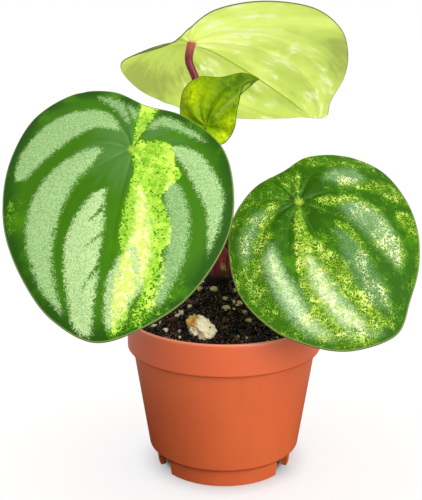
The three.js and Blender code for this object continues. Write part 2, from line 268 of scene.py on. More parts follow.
corners = [(x * table_half_width, y * table_half_width, 0) for x, y in ((-1, -1), (1, -1), (1, 1), (-1, 1))]
table_mesh = bpy.data.meshes.new("table")
table_mesh.from_pydata(corners, [], [(0, 1, 2, 3)])
table_mesh.materials.append(table_finish)
table = bpy.data.objects.new("table", table_mesh)
scene.collection.objects.link(table)
not_lit = bpy.data.collections.new("not_lit_by_the_suns")
not_lit.objects.link(table)
for sun in suns:
    sun.light_linking.receiver_collection = not_lit
not_lit.collection_objects[0].light_linking.link_state = "EXCLUDE"
print("a table,", 2 * table_half_width, "m wide")

# %% [markdown]
# ## The pot
#
# The pot is injection moulded polypropylene: a thin wall, a taller collar that stiffens the
# mouth, and a foot ring cut into three feet. A turned profile gives all of it in one go. Its
# corners are rounded by a small radius, as the steel mould leaves them. The gaps between the
# feet and the drain holes repeat round the axis, so a Geometry Nodes tree places the cutters
# on circles and takes them away from the turned body.

# %% Turned profile of the pot
pot_profile = [  # radius, height and corner radius, mm, round the wall from inside the foot
    (27.9, 8, 0.4), (27.0, 0.5, 0.3), (27.5, 0, 0.3), (29.7, 0, 0.4), (30.5, 8, 0.3), (32.4, 8.1, 0.5),
    (33.4, 9.3, 1.2), (40.2, 54, 0.3), (42.0, 54, 0.3), (42.5, 54.7, 0.6), (42.5, 66.4, 0.3),
    (42.35, 68, 0.7), (41.05, 68, 0.5), (40.95, 56, 0.6), (38.9, 54, 0.6), (32.1, 9.4, 1),
]
pot_floor_under, pot_floor_top = 8, 9.4
collar_foot, lip_top = 54, 68


def rounded_profile(corners, steps=5):
    """The profile with an arc of the given radius at each corner."""
    places = np.array([corner[:2] for corner in corners], float)
    curve = [places[0]]
    for i in range(1, len(corners) - 1):
        here = places[i]
        sides = [places[i - 1] - here, places[i + 1] - here]
        lengths = [np.linalg.norm(side) for side in sides]
        half_angle = np.arccos(np.clip(sides[0] @ sides[1] / lengths[0] / lengths[1], -1, 1)) / 2
        reach = min(corners[i][2] / np.tan(half_angle), 0.49 * min(lengths))
        first, last = (here + side / length * reach for side, length in zip(sides, lengths))
        for t in np.linspace(0, 1, steps):
            curve.append((1 - t) ** 2 * first + 2 * t * (1 - t) * here + t ** 2 * last)
    curve.append(places[-1])
    return np.array(curve)


def turned(profile, spokes):
    """Rings of points round the axis for each [radius, height]."""
    angle = np.linspace(0, 2 * np.pi, spokes, endpoint=False)
    return [np.stack([r * np.cos(angle), r * np.sin(angle), 0 * angle + z], -1) for r, z in profile]


profile = rounded_profile(pot_profile)
print("the pot's profile has", len(profile), "points")

# %% Moulded polypropylene
# Pigmented polypropylene, moulded against polished steel: an even colour, a soft sheen, faint
# flow marks and the fine orange peel of a cheap mould. The collar is painted a little deeper in
# colour, as shade that offsets the sheen it catches, and a thin painted highlight runs along the
# top of its lip.
pot_finish, tree, paint = new_finish(
    "moulded_terracotta_polypropylene", 0.42, 0.75, stretch=(1, 1, 0.12),
    grains={"cloud": (26, 2, 0.5), "peel": (1.6, 2, 0.5), "drawn_flow_marks": (5, 3, 0.5)})
place = add_node(tree, "ShaderNodeTexCoord").outputs["Object"]
height = add_node(tree, "ShaderNodeSeparateXYZ", {0: place}).outputs["Z"]
colour = layered(
    tree, linear("#D96336"),
    (soft_mask(tree, paint["cloud"], 0.35, 0.75), linear("#DD6838")),
    (soft_mask(tree, paint["drawn_flow_marks"], 0.5, 0.85), linear("#D56033")),
    # painted shade: the collar a little deeper, offsetting the sheen it catches
    (soft_mask(tree, height, collar_foot * MM, (collar_foot + 0.5) * MM), linear("#D85D2A")),
    # painted highlight: a thin pale line along the top of the lip
    (soft_mask(tree, height, (lip_top - 0.8) * MM, (lip_top - 0.3) * MM), linear("#EC8460")))
dress(tree, colour, paint["peel"], 0.03)
print("finish", pot_finish.name)


# %% Cut the feet and the drain holes
def new_tree(name, **inputs):
    """A Geometry Nodes tree with a geometry input and named inputs; also its input node."""
    tree = bpy.data.node_groups.new(name, "GeometryNodeTree")
    tree.interface.new_socket("Geometry", in_out="INPUT", socket_type="NodeSocketGeometry")
    kinds = {float: "Float", int: "Int", tuple: "Vector", bpy.types.Material: "Material"}
    for label, value in inputs.items():
        kind = "NodeSocket" + kinds[type(value)]
        title = label.replace("_", " ").capitalize()
        tree.interface.new_socket(title, in_out="INPUT", socket_type=kind).default_value = value
    tree.interface.new_socket("Geometry", in_out="OUTPUT", socket_type="NodeSocketGeometry")
    return tree, add_node(tree, "NodeGroupInput").outputs


def end_tree(tree, geometry, finish):
    """Every tree ends by realizing its instances and setting the material."""
    real = add_node(tree, "GeometryNodeRealizeInstances", {"Geometry": geometry}).outputs[0]
    done = add_node(tree, "GeometryNodeSetMaterial", {"Geometry": real, "Material": finish}).outputs[0]
    add_node(tree, "NodeGroupOutput", {"Geometry": done})


def grow(piece, tree, **values):
    """Runs a tree on the piece with these inputs, and keeps the result as a plain mesh."""
    modifier = piece.modifiers.new(tree.name, "NODES")
    modifier.node_group = tree
    for socket in tree.interface.items_tree:
        key = socket.name.lower().replace(" ", "_")
        if socket.in_out == "INPUT" and key in values:
            modifier[socket.identifier] = values[key]
    shown = bpy.context.evaluated_depsgraph_get()
    mesh = bpy.data.meshes.new_from_object(piece.evaluated_get(shown), depsgraph=shown)
    piece.modifiers.clear()
    piece.data = mesh
    mesh.name = piece.name
    return piece


axis_place = tuple(pot_axis)
tree, given = new_tree(
    "pot_openings", holes=6, hole_radius=0.0025, hole_circle=0.019, hole_centre=axis_place,
    feet=3, foot_gap=0.01, foot_circle=0.03, foot_height=0.008, foot_centre=axis_place, finish=pot_finish)
hole = add_node(tree, "GeometryNodeMeshCylinder", {
    "Vertices": 32, "Radius": given["Hole radius"], "Depth": 6 * MM}).outputs["Mesh"]
gap_size = add_node(tree, "ShaderNodeCombineXYZ", {
    "X": 14 * MM, "Y": given["Foot gap"], "Z": given["Foot height"]}).outputs[0]
gap = add_node(tree, "GeometryNodeMeshCube", {"Size": gap_size}).outputs["Mesh"]
body = given["Geometry"]
first_gap = np.radians(-30)
for cutter, count, circle, centre, turn in (
        (hole, "Holes", "Hole circle", "Hole centre", 0.0),
        (gap, "Feet", "Foot circle", "Foot centre", first_gap)):
    ring = add_node(tree, "GeometryNodeMeshCircle", {
        "Vertices": given[count], "Radius": given[circle]}).outputs[0]
    spot = add_node(tree, "GeometryNodeInputPosition").outputs[0]
    outward = add_node(tree, "FunctionNodeAlignRotationToVector", {"Vector": spot}, axis="X").outputs[0]
    copies = add_node(tree, "GeometryNodeInstanceOnPoints", {
        "Points": ring, "Instance": cutter, "Rotation": outward}).outputs[0]
    placed = add_node(tree, "GeometryNodeTransform", {
        "Geometry": copies, "Translation": given[centre], "Rotation": (0, 0, turn)}).outputs[0]
    solid = add_node(tree, "GeometryNodeRealizeInstances", {"Geometry": placed}).outputs[0]
    body = add_node(tree, "GeometryNodeMeshBoolean", {
        "Mesh 1": body, "Mesh 2": solid}, operation="DIFFERENCE", solver="EXACT").outputs[0]
end_tree(tree, body, given["Finish"])
pot_openings = tree
print("tree", tree.name)

# %% The pot
pot_points, pot_faces = closed_skin(turned(profile, 192), (0, 0, pot_floor_under), (0, 0, pot_floor_top))
pot = add_piece("nursery_pot", pot_points, pot_faces)
floor_middle = tuple(pot_axis + [0, 0, (pot_floor_under + pot_floor_top) / 2 * MM])
grow(pot, pot_openings, hole_centre=floor_middle, foot_gap=10.4 * MM, foot_height=2 * pot_floor_under * MM)
pot.data.polygons.foreach_set("use_smooth", [True] * len(pot.data.polygons))
pot.data.set_sharp_from_angle(angle=np.radians(40))
hand_in(pot, "pot", "pot")

# %% [markdown]
# ## The potting mix
#
# Peat, composted bark and a little perlite, mounded up round the plant's crown. Its surface is a
# disc of rings lifted by a formula, the same one as in the solid model, with finer crumbs on
# it. Loose crumbs are strewn over it with Geometry Nodes: one small lump is instanced on random
# points, turned and scaled at random, and then dented by noise so that no two look alike.

# %% Height of the mix
stem_place = np.array([-1.0, 8.0])
mix_edge, mix_rise, mix_spread = 63, 17, 17
mix_radius = 40.4


def wander(a, b, c):
    """A smooth wander in the range -1 to 1."""
    return (np.sin(a * 1.7 + b * 0.9 + c) + np.sin(b * 1.9 - c * 1.3 + 2)
            + np.sin(c * 1.5 + a * 1.1 - b + 4)) / 3


def mix_height(x, y):
    """Height of the potting mix over the table, mm."""
    from_stem = np.hypot(x - stem_place[0], y - stem_place[1])
    mound = mix_rise * np.exp(-from_stem ** 2 / (2 * mix_spread ** 2))
    return mix_edge + mound + 0.7 * wander(x * 0.55, y * 0.6, 1) + 0.4 * wander(x * 1.1, y, 3)


print("the mix stands", round(mix_height(*stem_place), 1), "mm high at the stem")

# %% Peat
# Damp peat is nearly black with brown bark dust in it. Each crumb carries a tint from 0 to 1,
# and the palest few are grains of perlite and lime. The tiny pale glints are painted highlights
# of wet crumbs.
mix_finish, tree, paint = new_finish(
    "damp_peat_and_bark", 0.4, 0.14, fields=("tint",),
    grains={"dust": (1.2, 4, 0.65), "fibre": (4, 3, 0.6), "glint": (0.5, 2, 0.6)})
colour = layered(
    tree, linear("#040302"),
    (soft_mask(tree, paint["dust"], 0.54, 0.75), linear("#24140C")),
    (soft_mask(tree, paint["tint"], 0.55, 0.8), linear("#2C1810")),
    (soft_mask(tree, paint["fibre"], 0.6, 0.68), linear("#4A2418")),
    (soft_mask(tree, paint["tint"], 0.88, 0.93), linear("#6B4A34")),
    (soft_mask(tree, paint["tint"], 0.96, 0.97), linear("#F0E2B8")),
    # painted highlights: tiny glints on wet crumbs
    (soft_mask(tree, paint["glint"], 0.645, 0.675), linear("#E4D6B4")))
dress(tree, colour, paint["dust"], 0.7)
print("finish", mix_finish.name)

# %% The bed of mix
bed_rings = 90
bed_spokes = 220
angle = np.linspace(0, 2 * np.pi, bed_spokes, endpoint=False)
inside_wall = [(31.6, 9.8), (38.4, 54.1), (40.5, 56.1)]  # radius and height, mm, clear of the pot
bed = turned(inside_wall, bed_spokes)
for radius in np.linspace(mix_radius, mix_radius / bed_rings, bed_rings):
    x, y = radius * np.cos(angle), radius * np.sin(angle)
    crumbly = [0.55 * noise.fractal((px, py, 0.0), 0.7, 2.1, 4) for px, py in zip(x, y)]
    bed.append(np.stack([x, y, mix_height(x, y) + np.array(crumbly)], -1))
bed_points, bed_faces = closed_skin(bed, (0, 0, inside_wall[0][1]), (0, 0, mix_height(0.0, 0.0)))
mix_bed = add_piece("potting_mix_bed", bed_points, bed_faces, mix_finish)
hand_in(mix_bed, "potting_mix", "potting_mix")

# %% Strewn crumbs
tree, given = new_tree("strewn_crumbs", per_square_metre=1.0, smallest=0.3, largest=1.0, dent=0.3, seed=1,
                       finish=mix_finish)
spots = add_node(tree, "GeometryNodeDistributePointsOnFaces", {
    "Mesh": given["Geometry"], "Density": given["Per square metre"],
    "Seed": given["Seed"]}).outputs["Points"]
lump = add_node(tree, "GeometryNodeMeshUVSphere", {
    "Segments": 8, "Rings": 5, "Radius": 1.0}).outputs["Mesh"]
turn = add_node(tree, "FunctionNodeRandomValue", {
    "Max": (6.283, 6.283, 6.283), "Seed": given["Seed"]}, data_type="FLOAT_VECTOR").outputs["Value"]
size_low, size_high = [
    add_node(tree, "ShaderNodeCombineXYZ", {axis: given[label] for axis in "XYZ"}).outputs[0]
    for label in ("Smallest", "Largest")]
size = add_node(tree, "FunctionNodeRandomValue", {
    0: size_low, 1: size_high, "Seed": 7}, data_type="FLOAT_VECTOR").outputs[0]
crumbs = add_node(tree, "GeometryNodeInstanceOnPoints", {
    "Points": spots, "Instance": lump, "Rotation": turn, "Scale": size}).outputs[0]
tint = add_node(tree, "FunctionNodeRandomValue", {2: 0.0, 3: 1.0, "Seed": 3}, data_type="FLOAT").outputs[1]
crumbs = add_node(tree, "GeometryNodeStoreNamedAttribute", {
    "Geometry": crumbs, "Name": "tint", "Value": tint}, data_type="FLOAT", domain="INSTANCE").outputs[0]
crumbs = add_node(tree, "GeometryNodeRealizeInstances", {"Geometry": crumbs}).outputs[0]
dents = add_node(tree, "ShaderNodeTexNoise", {"Scale": 900.0, "Detail": 2.0}).outputs["Color"]
grey = (0.5, 0.5, 0.5)
shove = add_node(tree, "ShaderNodeVectorMath", {0: dents, 1: grey}, operation="SUBTRACT").outputs[0]
shove = add_node(tree, "ShaderNodeVectorMath", {
    0: shove, "Scale": given["Dent"]}, operation="SCALE").outputs[0]
crumbs = add_node(tree, "GeometryNodeSetPosition", {"Geometry": crumbs, "Offset": shove}).outputs[0]
end_tree(tree, crumbs, given["Finish"])
strewn_crumbs = tree
print("tree", tree.name)

# %% Crumbs on the bed
crumb_reach = 39.4
for name, count, smallest, largest, seed in (
        ("peat_crumbs", 2000, 0.35, 1.1, 1), ("bark_crumbs", 240, 0.8, 1.9, 5)):
    rings = [row for row in bed[len(inside_wall):] if np.hypot(*row[0][:2]) < crumb_reach]
    points, faces = closed_skin(rings, rings[0][0], (0, 0, mix_height(0.0, 0.0)))
    bare = [face for face in faces if len(points) - 2 not in face]
    crumbs = add_piece(name, points, bare)
    area = np.pi * (crumb_reach * MM) ** 2
    grow(crumbs, strewn_crumbs, per_square_metre=count / area, smallest=smallest * MM,
         largest=largest * MM, dent=1.1 * largest * MM, seed=seed, finish=mix_finish)
    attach(crumbs, "root")
    print(name, "has", len(crumbs.data.polygons), "faces")

# %% [markdown]
# ## Pumice, perlite and bark
#
# The loose pieces on the mix: one large chunk of pumice, a dozen grains of perlite and a chip of
# bark. All are small stones broken or puffed up at random, so one function makes them from a
# ball with lumps and pits of noise. The chunk is pocked most and stained ochre at one end.

# %% Stone finishes
# Pumice and perlite are volcanic glass foam: chalky, matt and full of tiny pits. On the pumice
# the pits are painted dark brown, as the shade that falls inside them.
pumice_finish, tree, paint = new_finish(
    "broken_pumice", 0.9, 0.15, fields=("stain",),
    grains={"pits": (1.1, 3, 0.6), "cloud": (3, 2, 0.5)})
colour = layered(
    tree, linear("#FFF6D4"),
    (soft_mask(tree, paint["cloud"], 0.5, 0.7), linear("#FFE8AC")),
    (soft_mask(tree, paint["stain"], 0.35, 0.8, [(paint["cloud"], 1.2)]), linear("#D9A75C")),
    # painted shade: the pits dark brown, for the shade inside them
    (soft_mask(tree, paint["pits"], 0.6, 0.68), linear("#5E4628")))
dress(tree, colour, paint["pits"], 0.5, 1.0)
perlite_finish, tree, paint = new_finish("puffed_perlite", 0.9, 0.15, grains={"grit": (0.6, 2, 0.5)})
colour = layered(tree, linear("#E0D09C"), (soft_mask(tree, paint["grit"], 0.5, 0.7), linear("#A88F5C")))
dress(tree, colour, paint["grit"], 0.2)
bark_finish, tree, paint = new_finish("composted_bark", 0.8, 0.2, grains={"flakes": (0.8, 3, 0.5)})
colour = layered(tree, linear("#4E281C"), (soft_mask(tree, paint["flakes"], 0.45, 0.7), linear("#7A4431")))
dress(tree, colour, paint["flakes"], 0.3)
print("three stone finishes")


# %% Stones
def add_stone(name, x, y, radii, sunk, seed, knobs, finish, slot, tilt=0):
    """A lumpy stone in the mix, in mm: its radii, how deep it is sunk, and how deep its knobs are.

    tilt is in degrees, and seed turns the noise into another stone.
    """
    rows, spokes = 48, 64
    centre = np.array([x, y, mix_height(x, y) + radii[2] - sunk])
    rings = []
    for polar in np.linspace(0, np.pi, rows + 2)[1:-1]:
        turn = np.linspace(0, 2 * np.pi, spokes, endpoint=False)
        rings.append(np.stack([np.sin(polar) * np.cos(turn), np.sin(polar) * np.sin(turn),
                               np.cos(polar) + 0 * turn], -1))
    points, faces = closed_skin(rings, (0, 0, 1), (0, 0, -1))
    lump = 1 + 0.16 * wander(points[:, 0] * 2.2 + seed, points[:, 1] * 2.2, points[:, 2] * 2.2)
    finer = np.array([noise.fractal(tuple(p * 2.4 + seed), 0.6, 2.2, 4) for p in points])
    shaped = points * (lump[:, None] * np.array(radii) + knobs * (finer[:, None] - 0.25))
    a = np.radians(tilt)
    shaped = shaped @ np.array([[np.cos(a), 0, -np.sin(a)], [0, 1, 0], [np.sin(a), 0, np.cos(a)]])
    piece = add_piece(name, centre + shaped, faces, finish)
    stain = piece.data.attributes.new("stain", "FLOAT", "POINT")
    stain.data.foreach_set("value", -points[:, 0])
    hand_in(piece, slot, name.replace("_stone", ""))


add_stone("pumice_chunk_stone", -9.4, -24.6, [6.9, 4.4, 4.4], 1.0, 1.3, 1.5, pumice_finish, "pumice", 42)
add_stone("bark_chip_stone", -21.5, -10.7, [2.6, 1.5, 1.1], 0.5, 5.1, 0.3, bark_finish, "bark")
perlite_grains = [  # x, y and mean radius of each grain, mm
    (0.8, -10.1, 1.5), (6.4, -5.8, 1.3), (0.4, -4.9, 1.0), (-4.6, 0.4, 1.4), (4.4, 0.6, 1.0),
    (8.5, -9.6, 1.1), (10.2, -14.8, 1.2), (-10.5, 4.6, 1.3), (-14.8, -5.4, 1.0), (14.5, 20.0, 1.4),
    (-17.0, 21.0, 1.2), (3.0, 28.0, 1.5),
]
for i, (x, y, radius) in enumerate(perlite_grains):
    add_stone(f"perlite_{i + 1}_stone", x, y, [1.15 * radius, 0.95 * radius, 0.85 * radius],
              0.7 * radius, 2 + 1.7 * i, 0.25, perlite_finish, "perlite")

# %% [markdown]
# ## Crown and petioles
#
# The crown is the short stem that the leaves come from, knobbly with old leaf scars and wrapped
# in dry tan sheaths. Each petiole is a round fleshy stalk that follows a smooth line to its
# leaf, a little thicker at both ends. That is a shape with a rule, so a Geometry Nodes tree
# sweeps a circle along the line, with the girth worked out from the place on the line.

# %% Stem finishes
# The petiole's skin is a smooth waxy cuticle over raspberry red sap, paler where it flecks.
petiole_finish, tree, paint = new_finish(
    "waxy_red_petiole_skin", 0.34, 0.35, stretch=(1, 1, 0.25), fields=("from_foot",),
    grains={"drawn_streaks": (1.6, 3, 0.6), "flecks": (0.7, 2, 0.5)})
colour = layered(
    tree, linear("#761C2C"),
    (soft_mask(tree, paint["drawn_streaks"], 0.4, 0.75), linear("#8A2A3C")),
    (soft_mask(tree, paint["flecks"], 0.62, 0.75), linear("#9C3E4A")),
    (soft_mask(tree, paint["from_foot"], 0.93, 1.0), linear("#B5604E")))
dress(tree, colour, paint["drawn_streaks"], 0.12)
crown_finish, tree, paint = new_finish(
    "scarred_crown_and_dry_sheaths", 0.6, 0.2, fields=("height",),
    grains={"scars": (2.2, 3, 0.6), "flecks": (0.8, 2, 0.5)})
wobble = [(paint["scars"], 5), (paint["flecks"], 2)]
colour = layered(
    tree, linear("#1A110B"),
    (soft_mask(tree, paint["height"], 83, 84.5, wobble), linear("#4A4A18")),
    (soft_mask(tree, paint["height"], 86.2, 87.2, wobble), linear("#D09A6C")),
    (soft_mask(tree, paint["height"], 88.6, 89.8, wobble), linear("#BE4E50")),
    (soft_mask(tree, paint["height"], 93.4, 94.2, wobble), linear("#6B4A30")),
    (soft_mask(tree, paint["scars"], 0.6, 0.68), linear("#2A1A10")))
dress(tree, colour, paint["scars"], 0.6)
print("finishes", petiole_finish.name, "and", crown_finish.name)

# %% Crown
crown_profile = [  # radius and height, mm
    (2.5, 60), (3.7, 66), (4.6, 75), (4.5, 80), (5.1, 85), (4.7, 88.5), (3.9, 91), (3.1, 94), (1.3, 96.2)]
heights = np.linspace(60.2, 96.2, 90)
girth = np.interp(heights, [z for _, z in crown_profile], [r for r, _ in crown_profile])
rings = []
for z, r in zip(heights, girth):
    turn = np.linspace(0, 2 * np.pi, 64, endpoint=False)
    x, y = r * np.cos(turn), r * np.sin(turn)
    places = [(px * 0.45, py * 0.45, z * 0.3) for px, py in zip(x, y)]
    knobs = 0.5 * np.array([noise.fractal(place, 0.8, 2, 3) for place in places])
    stump_of_old_leaf = 0.85 * np.exp(-((turn - 3.1) / 0.7) ** 2 - ((z - 80.5) / 3.5) ** 2)
    scar_rings = 0.05 * np.sin(z * 1.7 + 0.6 * np.sin(turn))
    swell = 1 + knobs / r + scar_rings + stump_of_old_leaf
    rings.append(np.stack([x * swell + stem_place[0], y * swell + stem_place[1], z + 0 * x], -1))
points, faces = closed_skin(rings, (*stem_place, 60), (*stem_place, 96.7))
crown = add_piece("crown_stem", points, faces, crown_finish)
crown.data.attributes.new("height", "FLOAT", "POINT").data.foreach_set("value", points[:, 2])
hand_in(crown, "crown", "crown")


# %% Smooth lines
def open_curve(points, steps):
    """A smooth line through points spaced unevenly, with steps places between two of them."""
    p = np.asarray(points, float)
    p = np.vstack([2 * p[0] - p[1], p, 2 * p[-1] - p[-2]])
    d = np.diff(p, axis=0)
    gap = np.sqrt(np.linalg.norm(d, axis=1))
    line = []
    for i in range(1, len(p) - 2):
        t = np.arange(steps)[:, None] / steps
        leave = gap[i] * (d[i - 1] / gap[i - 1] - (p[i + 1] - p[i - 1]) / (gap[i - 1] + gap[i])) + d[i]
        arrive = gap[i] * (d[i + 1] / gap[i + 1] - (p[i + 2] - p[i]) / (gap[i] + gap[i + 1])) + d[i]
        line.append(p[i] + leave * t + (3 * d[i] - 2 * leave - arrive) * t ** 2
                    + (leave + arrive - 2 * d[i]) * t ** 3)
    return np.vstack([*line, p[-2:-1]])


def closed_curve(points, steps):
    """A smooth closed line through points, with steps places from each to the next."""
    p = np.asarray(points, float)[:, None]
    before, after, beyond = np.roll(p, 1, 0), np.roll(p, -1, 0), np.roll(p, -2, 0)
    t = np.linspace(0, 1, steps, endpoint=False)[None, :, None]
    line = (2 * p + (after - before) * t + (2 * before - 5 * p + 4 * after - beyond) * t ** 2
            + (beyond - before + 3 * (p - after)) * t ** 3) / 2
    return line.reshape(-1, p.shape[-1])


print("an open line through 3 points has", len(open_curve([[0, 0, 0], [1, 0, 0], [2, 1, 0]], 4)), "places")

# %% Petiole tree
tree, given = new_tree("swept_petiole", radius=0.002, foot_swelling=0.2, sides=24, finish=petiole_finish)
line = add_node(tree, "GeometryNodeMeshToCurve", {"Mesh": given["Geometry"]}).outputs[0]
factor = add_node(tree, "GeometryNodeSplineParameter").outputs["Factor"]
line = add_node(tree, "GeometryNodeStoreNamedAttribute", {
    "Geometry": line, "Name": "from_foot", "Value": factor}, data_type="FLOAT", domain="POINT").outputs[0]
from_middle = add_node(tree, "ShaderNodeMath", {0: factor, 1: 0.5}, operation="SUBTRACT").outputs[0]
square = add_node(tree, "ShaderNodeMath", {0: from_middle, 1: from_middle}, operation="MULTIPLY").outputs[0]
fourfold = add_node(tree, "ShaderNodeMath", {0: square, 1: 4.0}, operation="MULTIPLY").outputs[0]
girth = add_node(tree, "ShaderNodeMath", {0: fourfold, 1: given["Foot swelling"], 2: 0.94},
                 operation="MULTIPLY_ADD").outputs[0]
circle = add_node(tree, "GeometryNodeCurvePrimitiveCircle", {
    "Resolution": given["Sides"], "Radius": given["Radius"]}).outputs[0]
stalk = add_node(tree, "GeometryNodeCurveToMesh", {
    "Curve": line, "Profile Curve": circle, "Scale": girth, "Fill Caps": True}).outputs[0]
end_tree(tree, stalk, given["Finish"])
swept_petiole = tree
print("tree", tree.name)
